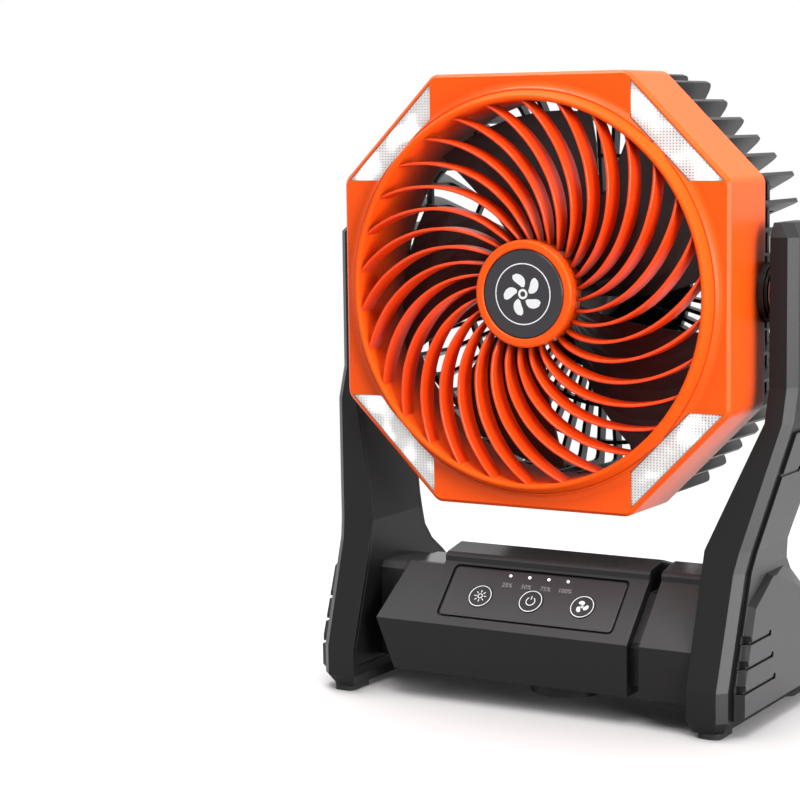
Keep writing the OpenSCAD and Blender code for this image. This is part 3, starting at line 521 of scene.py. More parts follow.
# The side covers, moulded from a slightly greyer batch: their steps' walls and all faces that don't look
# sideways are painted dark, and their slits and gaps too, as painted shade.
COVER_ABS = Finish(
    "grey_black_abs",
    "#414042",
    "#3E3D3F",
    roughness=0.42,
    specular=0.3,
    grain_mm=0.4,
    grain_depth_mm=0.01,
    painted_gap_shade_level=0.1,
    facing=PaintedLightByFace.SIDEWAYS,
    painted_away_shade_level=0.1,
)
# Glass-filled nylon of the impeller: darker and a little rougher.
NYLON = Finish("filled_nylon", "#161517", "#1B1A1C", roughness=0.44, grain_mm=0.7)
# Charcoal inlay of the controls: smooth and satin, with darker buttons.
PANEL_ABS = Finish(
    "charcoal_abs", "#322F32", "#2F2C2F", roughness=0.38, grain_mm=0.35, grain_depth_mm=0.006
)
BUTTON_ABS = replace(PANEL_ABS, name="button_abs", colour="#201E20", shade="#1E1C1E", roughness=0.36)
# The hub's badge: the same satin, a shade bluer.
BADGE_ABS = Finish(
    "badge_abs", "#2E2B30", "#2C292E", roughness=0.34, specular=0.4, grain_mm=0.4, grain_depth_mm=0.006
)
# Nitrile rubber of the feet: matt and faintly grainy.
RUBBER = Finish("nitrile_rubber", "#1A1A1B", "#232324", roughness=0.8, grain_mm=0.6, grain_depth_mm=0.05)
# Brushed steel: its grain is drawn out along one direction, so highlights smear.
STEEL = Finish(
    "brushed_steel",
    "#B9BABD",
    "#A6A8AB",
    roughness=0.32,
    metallic=1.0,
    ior=METAL_IOR,
    grain_mm=0.3,
    stretch=(1.0, 12.0, 1.0),
)
# Turned brass of the impeller's nut: warm, with a soft shine.
BRASS = Finish(
    "turned_brass", "#C9A24B", "#B98F3C", roughness=0.3, metallic=1.0, ior=METAL_IOR, grain_mm=0.4
)
# Solder mask: a glossy green lacquer on the main board, a dull white one under the lamps.
SOLDER_MASK = Finish("green_solder_mask", "#1F5C36", "#184A2B", roughness=0.3, grain_mm=2.0)
WHITE_BOARD = Finish("white_solder_mask", "#E9EAE6", "#DADBD6", roughness=0.5, grain_mm=1.0)
# The shrunk film on the cells: glossy, with slow waves.
CELL_WRAP = Finish("cell_film", "#2F6FA8", "#27608F", roughness=0.22, grain_mm=3.0)
# Pad print: a dull opaque ink.
PRINT_WHITE = Finish("white_pad_print", "#E9E9E9", "#DEDEDE", roughness=0.55, grain_mm=0.3, edge_mm=0.05)
PRINT_GREY = Finish("grey_pad_print", "#8F8D8F", "#878587", roughness=0.6, grain_mm=0.3, edge_mm=0.05)
# A painted shadow: a dark mark on a screw's head for the shade inside its recess.
PAINTED_SCREW_SHADOW = Finish("painted_screw_shadow", "#0B0B0C", "#101011", roughness=0.7, grain_mm=0.4, edge_mm=0.05)
# A socket's tongue in liquid crystal polymer, and the gold flash on its contacts.
TONGUE = Finish("black_lcp", "#141415", "#1A1A1B", roughness=0.5, grain_mm=0.4, edge_mm=0.1)
CONTACT_GOLD = Finish(
    "gold_flash", "#D8B25A", "#C9A24B", roughness=0.22, metallic=1.0, ior=METAL_IOR, edge_mm=0.05
)
# Polycarbonate lens over the lamps, and a charge light, both switched on.
LENS = LampLens()
CHARGE_GLOW = Glow("lit_charge_light", "#F4F4F4", strength=0.9, cell_mm=0.8, dim=0.95)


def dress(frame: dict, surface: Surface, nodes: Iterable[str]) -> None:
    """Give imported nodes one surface.

    Args:
        surface: what they are made of.
        nodes: names of the nodes.
    """
    for name in nodes:
        slots = frame["nodes"][name].data.materials
        slots.clear()
        slots.append(surface.material())
        log.info("dressed %s as %s", name, surface.name)


def keep(name: str, mesh: bpy.types.Mesh, surface: Surface, body: str) -> bpy.types.Object:
    """Keep a mesh, whose place is in it, as a piece that rides on a body.

    Args:
        name: the piece's name.
        mesh: the finished mesh.
        surface: what it is made of.
        body: the body it rides on.

    Returns:
        The new object.
    """
    mesh.materials.clear()
    mesh.materials.append(surface.material())
    made = bpy.data.objects.new(name, mesh)
    bpy.context.scene.collection.objects.link(made)
    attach(made, body)
    log.info("made %s: %d faces on %s", name, len(mesh.polygons), body)
    return made


def evaluated(holder: bpy.types.Object) -> bpy.types.Mesh:
    """Turn a linked object, with its modifiers, into a plain mesh.

    Args:
        holder: the object.

    Returns:
        The new mesh.
    """
    bpy.context.view_layer.update()
    depsgraph = bpy.context.evaluated_depsgraph_get()
    return bpy.data.meshes.new_from_object(holder.evaluated_get(depsgraph))


def shell(name: str, points: Sequence, faces: Sequence, smooth_under: float = 0.0) -> bpy.types.Mesh:
    """Make a closed mesh, with doubled points joined and its faces turned outwards.

    Args:
        name: the mesh's name.
        points: its corners, in metres.
        faces: corner numbers of each face.
        smooth_under: shades it smooth wherever it turns by less than this, in degrees.

    Returns:
        The mesh.
    """
    mesh = bpy.data.meshes.new(name)
    mesh.from_pydata([tuple(p) for p in points], [], [tuple(f) for f in faces])
    work = bmesh.new()
    work.from_mesh(mesh)
    bmesh.ops.remove_doubles(work, verts=work.verts, dist=SAME)
    bmesh.ops.dissolve_degenerate(work, edges=work.edges, dist=THIN)
    bmesh.ops.recalc_face_normals(work, faces=work.faces)
    work.to_mesh(mesh)
    work.free()
    if smooth_under:
        mesh.polygons.foreach_set("use_smooth", [True] * len(mesh.polygons))
        mesh.set_sharp_from_angle(angle=math.radians(smooth_under))
    return mesh


def rows_of_faces(rows: int, count: int, closed: bool) -> list[tuple[int, ...]]:
    """Return the faces between rows of points that each go round once.

    Args:
        rows: how many rows there are.
        count: points in a row.
        closed: the last row meets the first. If not, both ends get a lid.

    Returns:
        Corner numbers of each face.
    """
    faces: list[tuple[int, ...]] = []
    for i in range(rows if closed else rows - 1):
        for k in range(count):
            a, b = i * count + k, i * count + (k + 1) % count
            faces.append((a, b, (b + count) % (rows * count), (a + count) % (rows * count)))
    if not closed:
        faces.append(tuple(range(count - 1, -1, -1)))
        faces.append(tuple((rows - 1) * count + k for k in range(count)))
    return faces


@dataclass(frozen=True)
class Sheet:
    """A flat place on the fan: an origin, two directions in it and its outward normal."""

    origin: Vector
    right: Vector
    up: Vector

    @property
    def normal(self) -> Vector:
        """The direction that faces the viewer."""
        return self.right.cross(self.up)

    def at(self, x_mm: float, y_mm: float, lift_mm: float = 0.0) -> Vector:
        """Return the point x right, y up and lift off the sheet."""
        return self.origin + MM * (self.right * x_mm + self.up * y_mm + self.normal * lift_mm)


class Print:
    """A thin raised print made of outlines on a sheet.

    A blade swells as a sine does from one share of its half turn to another, made fuller by a power.
    """

    blade_steps = 12
    blade_swell = (0.12, 0.97)
    blade_fullness = 0.6

    def __init__(self, sheet: Sheet, height_mm: float = 0.08) -> None:
        """Start an empty print.

        Args:
            sheet: where it is printed.
            height_mm: how thick the ink stands.
        """
        self.sheet = sheet
        self.height = height_mm
        self.points: list[Vector] = []
        self.faces: list[tuple[int, ...]] = []

    def strip(self, left: Sequence[Pair], right: Sequence[Pair]) -> None:
        """Add a closed band between two lines with the same number of points.

        Args:
            left: points down one edge, in mm on the sheet.
            right: points down the other edge, which lies clockwise of the first.
        """
        base = len(self.points)
        for one, other in zip(left, right):
            for (x, y), lift in ((one, 0.0), (one, self.height), (other, self.height), (other, 0.0)):
                self.points.append(self.sheet.at(x, y, lift))
        self.faces += [tuple(base + k for k in face) for face in rows_of_faces(len(left), 4, False)]

    def arc(self, radius: float, width: float, start: float = 0, end: float = 360, *, steps: int) -> None:
        """Add a ring or a part of one, its angles in degrees.

        Args:
            radius: middle radius in mm.
            width: width of the line in mm.
            start: first angle.
            end: last angle.
            steps: number of short sides.
        """
        turns = [math.radians(start + (end - start) * i / steps) for i in range(steps + 1)]
        inner, outer = (
            [(edge * math.cos(t), edge * math.sin(t)) for t in turns]
            for edge in (radius - width / 2, radius + width / 2)
        )
        self.strip(inner, outer)

    def ray(self, angle: float, inner: float, outer: float, width: float) -> None:
        """Add a short bar that points away from the middle.

        Args:
            angle: its direction in degrees.
            inner: where it starts, in mm from the middle.
            outer: where it ends.
            width: its width.
        """
        turn = math.radians(angle)
        along = (math.cos(turn), math.sin(turn))
        side = (-along[1] * width / 2, along[0] * width / 2)
        left, right = (
            [(along[0] * r + way * side[0], along[1] * r + way * side[1]) for r in (inner, outer)]
            for way in (1, -1)
        )
        self.strip(left, right)

    def blade(self, angle: float, inner: float, outer: float, spread: float, lean: float) -> None:
        """Add one curved blade of a fan sign.

        Args:
            angle: direction of its root in degrees.
            inner: root radius in mm.
            outer: tip radius.
            spread: width of the blade in degrees at its widest.
            lean: how far the tip runs ahead of the root, in degrees.
        """
        left: list[Pair] = []
        right: list[Pair] = []
        first, last = self.blade_swell
        for i in range(self.blade_steps + 1):
            part = i / self.blade_steps
            radius = inner + (outer - inner) * part
            swell = math.sin(math.pi * (first + (last - first) * part))
            half = spread / 2 * swell**self.blade_fullness
            for line, way in ((left, 1), (right, -1)):
                turn = math.radians(angle + lean * part + way * half)
                line.append((radius * math.cos(turn), radius * math.sin(turn)))
        self.strip(left, right)

    def done(self, name: str, surface: Surface, body: str) -> None:
        """Turn the print into a piece that rides on a body."""
        keep(name, shell(name, self.points, self.faces), surface, body)


class Grower:
    """A Geometry Nodes tree with named inputs, run once on a holder and turned into a plain mesh."""

    def __init__(self, name: str, inputs: dict[str, str], surface: Surface) -> None:
        """Start a tree.

        Args:
            name: the tree's name.
            inputs: socket type by input name.
            surface: what the result is made of.
        """
        self.tree = bpy.data.node_groups.new(name, "GeometryNodeTree")
        self.surface = surface
        face = self.tree.interface
        face.new_socket("Geometry", in_out="INPUT", socket_type="NodeSocketGeometry")
        self.ids = {
            label: face.new_socket(label, in_out="INPUT", socket_type=kind).identifier
            for label, kind in inputs.items()
        }
        face.new_socket("Geometry", in_out="OUTPUT", socket_type="NodeSocketGeometry")
        self.given = add(self.tree, "NodeGroupInput")

    def end(self, copies: dict) -> None:
        """Finish the tree: place the copies, make them real and give them their material.

        Args:
            copies: what Instance on Points takes, by input name.
        """
        placed = add(self.tree, "GeometryNodeInstanceOnPoints", copies)[0]
        real = add(self.tree, "GeometryNodeRealizeInstances", (placed,))[0]
        painted = {"Geometry": real, "Material": self.surface.material()}
        add(self.tree, "NodeGroupOutput", (add(self.tree, "GeometryNodeSetMaterial", painted)[0],))

    def grow(self, name: str, seed: bpy.types.Mesh, values: dict, body: str, slot: str) -> bpy.types.Object:
        """Run the tree on a mesh and keep the result as a piece.

        Args:
            name: the piece's name.
            seed: the mesh that goes in.
            values: value by input name.
            body: the body the piece rides on.
            slot: the record's material slot it follows; not used.

        Returns:
            The new object.
        """
        holder = bpy.data.objects.new(f"{name}_seed", seed)
        bpy.context.scene.collection.objects.link(holder)
        grown = holder.modifiers.new("grow", "NODES")
        grown.node_group = self.tree
        for label, value in values.items():
            grown[self.ids[label]] = value
        mesh = evaluated(holder)
        holder.modifiers.remove(grown)
        bpy.data.objects.remove(holder)
        mesh.name = name
        return keep(name, mesh, self.surface, body)


def ring_of_copies(surface: Surface) -> Grower:
    """Return a tree that repeats a mesh round an axis along Y through a centre.

    Args:
        surface: what the copies are made of.

    Returns:
        The tree, ready to grow.
    """
    grower = Grower("ring_of_copies", {"Count": "NodeSocketInt", "Centre": "NodeSocketVector"}, surface)
    tree, given = grower.tree, grower.given
    points = add(tree, "GeometryNodePoints", {"Count": given["Count"]})[0]
    spots = {"Geometry": points, "Position": given["Centre"]}
    placed = add(tree, "GeometryNodeSetPosition", spots)[0]
    index = add(tree, "GeometryNodeInputIndex")[0]
    share = add(tree, MATH, (index, given["Count"]), operation="DIVIDE")[0]
    angle = add(tree, MATH, (share, TURN), operation="MULTIPLY")[0]
    turn = add(tree, "ShaderNodeCombineXYZ", {"Y": angle})[0]
    grower.end({"Points": placed, "Instance": given["Geometry"], "Rotation": turn})
    return grower


def lamp_prisms(surface: Surface) -> Grower:
    """Return a tree that covers a slanted band of a lens with small square prisms.

    Args:
        surface: what the prisms are made of.

    Returns:
        The tree, ready to grow.
    """
    floats = ("Pitch", "Rise", "Base", "Height", "Foot", "Tip", "Span", "Near", "Far", "Cut")
    kinds = {label: "NodeSocketFloat" for label in floats} | {"Centre": "NodeSocketVector"}
    grower = Grower("lamp_prisms", kinds, surface)
    tree, given = grower.tree, grower.given
    sizes = {"Size X": given["Span"], "Size Y": given["Span"]}
    for way, gap in (("Vertices X", "Pitch"), ("Vertices Y", "Rise")):
        gaps = add(tree, MATH, (given["Span"], given[gap]), operation="DIVIDE")[0]
        sizes[way] = add(tree, MATH, (gaps,), operation="CEIL")[0]
    grid = add(tree, "GeometryNodeMeshGrid", sizes)[0]
    upright = {"Geometry": grid, "Translation": given["Centre"], "Rotation": (math.pi / 2, 0.0, 0.0)}
    stood = add(tree, "GeometryNodeTransform", upright)[0]
    place = add(tree, "GeometryNodeInputPosition")[0]
    x, _, z = add(tree, "ShaderNodeSeparateXYZ", (place,))
    across = add(tree, MATH, (x,), operation="ABSOLUTE")[0]
    above = add(tree, MATH, (z, given["Base"]), operation="SUBTRACT")[0]
    up = add(tree, MATH, (above,), operation="ABSOLUTE")[0]
    total = add(tree, MATH, (across, up), operation="ADD")[0]
    outside = add(tree, MATH, (total, given["Near"]), operation="LESS_THAN")[0]
    for value, test, bound in (
        (total, "GREATER_THAN", "Far"),
        (across, "LESS_THAN", "Cut"),
        (up, "LESS_THAN", "Cut"),
    ):
        beyond = add(tree, MATH, (value, given[bound]), operation=test)[0]
        outside = add(tree, MATH, (outside, beyond), operation="MAXIMUM")[0]
    kept = add(tree, "GeometryNodeDeleteGeometry", {"Geometry": stood, "Selection": outside})[0]
    ends = {"Radius Bottom": given["Foot"], "Radius Top": given["Tip"], "Depth": given["Height"]}
    prism = add(tree, "GeometryNodeMeshCone", {"Vertices": 4} | ends)[0]
    forwards = {"Geometry": prism, "Rotation": (math.pi / 2, math.pi / 4, 0.0)}
    faced = add(tree, "GeometryNodeTransform", forwards)[0]
    squat = add(tree, MATH, (given["Rise"], given["Pitch"]), operation="DIVIDE")[0]
    scale = add(tree, "ShaderNodeCombineXYZ", (1.0, 1.0, squat))[0]
    squeezed = add(tree, "GeometryNodeTransform", {"Geometry": faced, "Scale": scale})[0]
    grower.end({"Points": kept, "Instance": squeezed})
    return grower


def reach(frame: dict, node: str, way: Vector) -> tuple[float, list[Vector]]:
    """Return how far a node reaches along a direction, and its points out there.

    Args:
        node: the node.
        way: the direction.

    Returns:
        The distance from the origin in metres, and the points within a hair of it.
    """
    return outermost([v.co for v in frame["nodes"][node].data.vertices], way)


def outermost(points: Sequence[Vector], way: Vector) -> tuple[float, list[Vector]]:
    """Return how far points reach along a direction, and those within a hair of it."""
    level = max(p.dot(way) for p in points)
    return level, [p for p in points if level - p.dot(way) < HAIR]


def middle(node: str) -> Vector:
    """Return the middle of a node's box."""
    low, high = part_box(node)
    return (low + high) / 2


def block(name: str, low: Vector, high: Vector, surface: Surface, body: str) -> None:
    """Make a small block between two corners and let it ride on a body.

    Args:
        name: the piece's name.
        low: its lowest corner, in metres.
        high: its highest corner.
        surface: what it is made of.
        body: the body it rides on.
    """
    round_x = ((low.x, low.z), (high.x, low.z), (high.x, high.z), (low.x, high.z))
    points = [(x, y, z) for y in (low.y, high.y) for x, z in round_x]
    keep(name, shell(name, points, rows_of_faces(2, 4, False)), surface, body)


def screw_faces(frame: dict, node: str, way: Vector) -> list[Sheet]:
    """Return a sheet on the outer end of each screw of a node.

    Args:
        node: the node with the screws.
        way: the direction in which their heads face.

    Returns:
        One sheet for each screw.
    """
    work = bmesh.new()
    work.from_mesh(frame["nodes"][node].data)
    bmesh.ops.remove_doubles(work, verts=work.verts, dist=SAME)
    right = way.orthogonal().normalized()
    sheets: list[Sheet] = []
    seen: set = set()
    for start in work.verts:
        if start in seen:
            continue
        island, edge = [start], [start]
        seen.add(start)
        while edge:
            here = edge.pop()
            for other in (link.other_vert(here) for link in here.link_edges):
                if other not in seen:
                    seen.add(other)
                    island.append(other)
                    edge.append(other)
        _, ends = outermost([v.co for v in island], way)
        sheets.append(Sheet(sum(ends, Vector()) / len(ends), right, way.cross(right)))
    work.free()
    return sheets


def cross_recess_painted_shadows(frame: dict, node: str, way: Vector, arm_mm: float, body: str) -> None:
    """Paint a cross recess's shadow on the head of each screw of a node, as a thin dark cross.

    Args:
        node: the node with the screws.
        way: the direction in which their heads face.
        arm_mm: length of each arm of the cross.
        body: the body the screws ride on.
    """
    for number, sheet in enumerate(screw_faces(frame, node, way), 1):
        ink = Print(sheet, RECESS_MM)
        for angle in (0, 90):
            ink.ray(angle, -arm_mm, arm_mm, arm_mm * CROSS_WIDTH)
        ink.done(f"{node}_recess_{number}", PAINTED_SCREW_SHADOW, body)


@dataclass
class Studio:
    """White sweep, soft boxes and the camera, in metres."""

    eye: tuple[float, float, float] = (0.526788, -1.047534, 0.296218)
    aim_deg: tuple[float, float, float] = (30.93, 6.90, -0.79)
    lens_mm: float = 102.04
    sensor_mm: float = 36.0
    clip_start: float = 0.01
    floor_half: float = 3.0
    white_from: Pair = (0.26, 0.75)
    floor_seen: str = "#C5C3C3"
    light_side: tuple[float, float, float] = (-0.6, 0.8, 0.0)
    bounce: Pair = (0.2, 0.8)
    bounce_from: Pair = (0.1, 0.8)
    sky_over: Pair = (0.15, 1.4)
    sky_over_from: Pair = (0.35, 0.9)
    sky_back: Pair = (0.15, 1.7)
    sky_back_from: Pair = (0.15, 0.95)
    # Each lamp's place, the point it faces, its side and its strength in watts.
    lamps: tuple = (
        ("key", (0.4, -0.95, 1.8), (0.0, 0.0, 0.18), 0.9, 19.0),
        ("right", (1.5, -0.75, 0.45), (0.0, 0.0, 0.15), 0.8, 31.0),
        ("top", (-0.3, 0.3, 1.7), (0.0, 0.0, 0.1), 1.2, 32.0),
    )

    def camera(self) -> None:
        """Place the camera: azimuth, elevation and roll are given in degrees."""
        azimuth, height, roll = (math.radians(a) for a in self.aim_deg)
        flat = math.cos(height)
        back = Vector((math.sin(azimuth) * flat, -math.cos(azimuth) * flat, math.sin(height)))
        right = Vector((math.cos(azimuth), math.sin(azimuth), 0.0))
        turned = Matrix((right, back.cross(right), back)).transposed() @ Matrix.Rotation(roll, 3, "Z")
        data = bpy.data.cameras.new("camera")
        data.lens = self.lens_mm
        data.sensor_width = self.sensor_mm
        data.clip_start = self.clip_start
        made = bpy.data.objects.new("camera", data)
        made.matrix_world = Matrix.Translation(self.eye) @ turned.to_4x4()
        bpy.context.scene.collection.objects.link(made)
        bpy.context.scene.camera = made

    def light(self) -> None:
        """Add the square soft boxes, each turned to the point it faces."""
        for name, place, target, size, power in self.lamps:
            data = bpy.data.lights.new(name, "AREA")
            data.shape = "SQUARE"
            data.size = size
            data.energy = power
            made = bpy.data.objects.new(name, data)
            aim = (Vector(place) - Vector(target)).normalized()
            made.matrix_world = Matrix.Translation(place) @ aim.to_track_quat("Z", "Y").to_matrix().to_4x4()
            bpy.context.scene.collection.objects.link(made)

    @staticmethod
    def seen(tree: Tree) -> Source:
        """Return 1 for what the camera sees, also in a reflection or through a lens, and 0 for light.

        Args:
            tree: the shader tree.

        Returns:
            The 1 or 0 as a link source.
        """
        path = add(tree, "ShaderNodeLightPath")
        straight = (path["Is Camera Ray"], path["Is Transmission Ray"])
        either = add(tree, MATH, straight, operation="MAXIMUM")[0]
        return add(tree, MATH, (either, path["Is Glossy Ray"]), operation="MAXIMUM")[0]

    @staticmethod
    def toward(tree: Tree, place: Source, way: Sequence[float], zone: Pair, levels: Pair) -> Source:
        """Return a level that changes softly along a direction.

        Args:
            tree: the shader tree.
            place: the coordinates.
            way: the direction.
            zone: distances along it where the level starts and stops to change.
            levels: the first and the last level.

        Returns:
            The level as a link source.
        """
        along = add(tree, "ShaderNodeVectorMath", (place, way), operation="DOT_PRODUCT")["Value"]
        ranged = (along, *zone, *levels)
        return add(tree, RANGE, ranged, interpolation_type="SMOOTHSTEP")[0]

    def world(self) -> None:
        """Make the sky: plain white behind the fan, and brighter overhead than low down as a light."""
        sky = bpy.data.worlds.new("studio")
        sky.use_nodes = True
        bpy.context.scene.world = sky
        tree = sky.node_tree
        tree.nodes.clear()
        way = add(tree, "ShaderNodeTexCoord")["Generated"]
        overhead = self.toward(tree, way, UP, self.sky_over_from, self.sky_over)
        behind = self.toward(tree, way, self.light_side, self.sky_back_from, self.sky_back)
        level = add(tree, MATH, (overhead, behind), operation="MAXIMUM")[0]
        soft = add(tree, "ShaderNodeBackground", {"Color": linear(WHITE), "Strength": level})[0]
        white = add(tree, "ShaderNodeBackground", {"Color": linear(WHITE), "Strength": 1.0})[0]
        mixed = add(tree, "ShaderNodeMixShader", (self.seen(tree), soft, white))[0]
        add(tree, "ShaderNodeOutputWorld", (mixed,))

    def floor(self) -> None:
        """Lay a pale floor that keeps the fan's shadow, turns plain white further out and reflects little."""
        made = bpy.data.materials.new("studio_paper")
        made.use_nodes = True
        tree = made.node_tree
        tree.nodes.clear()
        place = add(tree, "ShaderNodeTexCoord")["Object"]
        seen = self.seen(tree)
        distance = add(tree, "ShaderNodeVectorMath", (place,), operation="LENGTH")["Value"]
        reached = (distance, *self.white_from, 0.0, 1.0)
        far = add(tree, RANGE, reached, interpolation_type="SMOOTHSTEP")[0]
        fade = add(tree, MATH, (far, seen), operation="MULTIPLY")[0]
        bounce = self.toward(tree, place, self.light_side, self.bounce_from, self.bounce)
        grey = add(tree, "ShaderNodeCombineColor", (bounce, bounce, bounce))[0]
        tones = {0: seen, COLOUR_A: grey, COLOUR_B: linear(self.floor_seen)}
        tone = add(tree, "ShaderNodeMix", tones, data_type="RGBA")[COLOUR_OUT]
        paper = add(tree, "ShaderNodeBsdfDiffuse", {"Color": tone})[0]
        white = add(tree, "ShaderNodeEmission", {"Color": linear(WHITE), "Strength": 1.0})[0]
        add(tree, "ShaderNodeOutputMaterial", (add(tree, "ShaderNodeMixShader", (fade, paper, white))[0],))
        half = self.floor_half
        corners = [(-half, -half, 0), (half, -half, 0), (half, half, 0), (-half, half, 0)]
        mesh = bpy.data.meshes.new("floor")
        mesh.from_pydata(corners, [], [(0, 1, 2, 3)])
        mesh.materials.append(made)
        sheet = bpy.data.objects.new("floor", mesh)
        bpy.context.scene.collection.objects.link(sheet)

    def build(self) -> None:
        """Set up the whole studio."""
        bpy.context.scene.view_settings.view_transform = "Standard"
        self.camera()
        self.world()
        self.floor()
        self.light()


@dataclass
class FanHead:
    """Front shell, grille, lamps, rear housing and motor, in millimetres and degrees.

    Depths count backwards from the head's flat front face. A prism's foot is a share of its pitch, and
    a vane's root the share of its length up to which its slope stays as it is.
    """

    frame: dict
    badge_ring: Pair = (15.2, 0.6)
    badge_eye: Pair = (2.0, 1.2)
    badge_blades: int = 5
    badge_blade: tuple[float, float, float, float] = (3.6, 10.8, 44, 26)
    badge_radius: float = 22.4
    hub_radius: float = 27.0
    hub_front: float = -6.7
    hub_back: float = 4.5
    hub_bead: float = 1.6
    bead_steps: int = 6
    hub_lip: Pair = (0.8, 0.6)
    hub_floor: Pair = (2.1, 3.9)
    hub_wall: float = 2.0
    duct_radius: float = 95.5
    duct_wall: float = 4.0
    duct_throat: Pair = (2.0, 12.0)
    duct_flare: Pair = (1.5, 2.0)
    duct_foot: Pair = (2.0, 3.0)
    duct_back: float = 44.0
    collar_front: float = -7.5
    collar_crest: Pair = (1.9, 1.5)
    crest_turn: Pair = (45.0, 180.0)
    rim_out: float = 1.5
    rim_lift: float = 2.4
    rim_back: float = 3.0
    round_steps: int = 128
    vanes: int = 30
    vane_thick: float = 1.6
    vane_back: float = 4.5
    vane_sink: float = 1.0
    vane_start: float = 6.0
    vane_sweep: float = 48.0
    vane_bend: float = 1.06
    vane_root: float = 0.02
    vane_steps: int = 30
    nose_steps: int = 8
    dome_knots: tuple[Pair, ...] = ((25.5, 0.5), (36, -4.2), (50, -7.0), (66, -8.2), (80, -7.8), (97, -5.4))
    smooth_under: float = 35.0
    shade_from: Pair = (6.0, 34.0)
    prism_height: float = 0.3
    prism_foot: float = 0.66
    prism_tip: float = 0.2
    lens_rim: float = 1.2
    lamp_count: int = 4
    shell_cross: float = 1.6
    motor_cross: float = 1.5

    def __post_init__(self) -> None:
        """Find the head's axis, where the impeller turns, and its flat front face behind the rim."""
        spin = next(j for j in self.frame["joints"] if j["name"] == "impeller_spin")
        self.axis = Vector(spin["pos_m"])
        self.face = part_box("front_bezel")[0].y + self.rim_lift * MM

    def finishes(self) -> None:
        """Dress the head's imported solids."""
        dress(self.frame, ORANGE_ABS, ["front_bezel"])
        dress(self.frame, ORANGE_VANES, ["spiral_grille"])
        dress(self.frame, BADGE_ABS, ["hub_badge"])
        dress(self.frame, HOUSING_ABS, ["rear_housing"])
        dress(self.frame, BLACK_ABS, ["tilt_boss_left", "tilt_boss_right"])
        dress(self.frame, STEEL, ["motor", "motor_screws", "head_screws"])
        dress(self.frame, WHITE_BOARD, [f"led_board_{i + 1}" for i in range(self.lamp_count)])

    def badge(self) -> None:
        """Print a plain ring and a five-blade fan sign on the hub badge."""
        centre = middle("hub_badge")
        ink = Print(Sheet(Vector((centre.x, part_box("hub_badge")[0].y, centre.z)), RIGHT, UP))
        ink.arc(*self.badge_ring, steps=96)
        ink.arc(*self.badge_eye, steps=32)
        for i in range(self.badge_blades):
            ink.blade(90 + i * 360 / self.badge_blades, *self.badge_blade)
        ink.done("badge_print", PRINT_WHITE, "head")

    def lenses(self) -> None:
        """Light each lamp lens and cover it with its field of small prisms."""
        rim = self.lens_rim * MM
        for i in range(1, self.lamp_count + 1):
            node = f"led_lens_{i}"
            points = [v.co for v in self.frame["nodes"][node].data.vertices]
            offs = [(abs(p.x), abs(p.z - self.axis.z)) for p in points]
            sums = (min(map(sum, offs)), max(map(sum, offs)))
            skew = max(abs(across - up) for across, up in offs)
            lens = replace(LENS, height=self.axis.z, sums=sums, skew=skew)
            dress(self.frame, lens, [node])
            low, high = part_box(node)
            values = {
                "Pitch": lens.pitch_mm[0] * MM,
                "Rise": lens.pitch_mm[1] * MM,
                "Base": self.axis.z,
                "Height": self.prism_height * MM,
                "Foot": self.prism_foot * lens.pitch_mm[0] * MM,
                "Tip": self.prism_tip * MM,
                "Span": high.x - low.x,
                "Near": sums[0] + rim,
                "Far": sums[1] - rim,
                "Cut": min(map(min, offs)) + rim,
                "Centre": ((low.x + high.x) / 2, min(p.y for p in points), (low.z + high.z) / 2),
            }
            seed = bpy.data.meshes.new("seed")
            lamp_prisms(lens).grow(f"lens_prisms_{i}", seed, values, "head", "lamp_lens")

    def grille(self) -> None:
        """Build the spiral grille with rounded vanes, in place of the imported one."""
        values = {"Count": self.vanes, "Centre": (self.axis.x, 0.0, self.axis.z)}
        vanes = ring_of_copies(ORANGE_VANES).grow(
            "grille_vanes", self.vane(), values, "head", "orange_plastic"
        )
        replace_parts(vanes, "spiral_grille")
        front = self.face / MM
        # The duct is painted darker further back, as painted shade.
        shaded = replace(ORANGE_DUCT, painted_depth_shade_from_mm=tuple(front + depth for depth in self.shade_from))
        self.revolve("grille_duct", self.duct_profile(), shaded)
        self.revolve("grille_hub", self.hub_profile(), ORANGE_ABS)

    def dome(self, radius: float) -> float:
        """Return the depth of a vane's front edge at a radius.

        Args:
            radius: distance from the head's axis.

        Returns:
            The depth, below zero where the dome stands proud of the face.
        """
        for (r0, y0), (r1, y1) in zip(self.dome_knots, self.dome_knots[1:]):
            if radius <= r1:
                return y0 + (y1 - y0) * (radius - r0) / (r1 - r0)
        return self.dome_knots[-1][1]

    def vane(self) -> bpy.types.Mesh:
        """Make one vane: a band on a widening spiral with a round front edge.

        Returns:
            The mesh, centred on the head's axis.
        """
        half, hub, span = self.vane_thick / 2, self.hub_radius, self.duct_radius - self.hub_radius
        turns = [math.pi * k / self.nose_steps for k in range(self.nose_steps + 1)]
        nose = [(half * math.cos(a), -half * math.sin(a)) for a in turns]
        points = []
        for i in range(self.vane_steps + 1):
            radius = hub - self.vane_sink + (span + 2 * self.vane_sink) * i / self.vane_steps
            sweep = max(radius - hub, 0) / span
            turn = math.radians(self.vane_start + self.vane_sweep * sweep**self.vane_bend)
            slope = self.vane_bend * max(sweep, self.vane_root) ** (self.vane_bend - 1)
            along = Vector((1.0, radius * math.radians(self.vane_sweep * slope) / span)).normalized()
            cos, sin = math.cos(turn), math.sin(turn)
            side = (-along[1] * cos - along[0] * sin, -along[1] * sin + along[0] * cos)
            front = self.dome(radius) + half
            ring = [(x, front + y) for x, y in nose] + [(-half, self.vane_back), (half, self.vane_back)]
            for across, depth in ring:
                x, z = radius * cos + side[0] * across, radius * sin + side[1] * across
                points.append((x * MM, self.face + depth * MM, z * MM))
        faces = rows_of_faces(self.vane_steps + 1, len(nose) + 2, False)
        return shell("vane", points, faces, self.smooth_under)

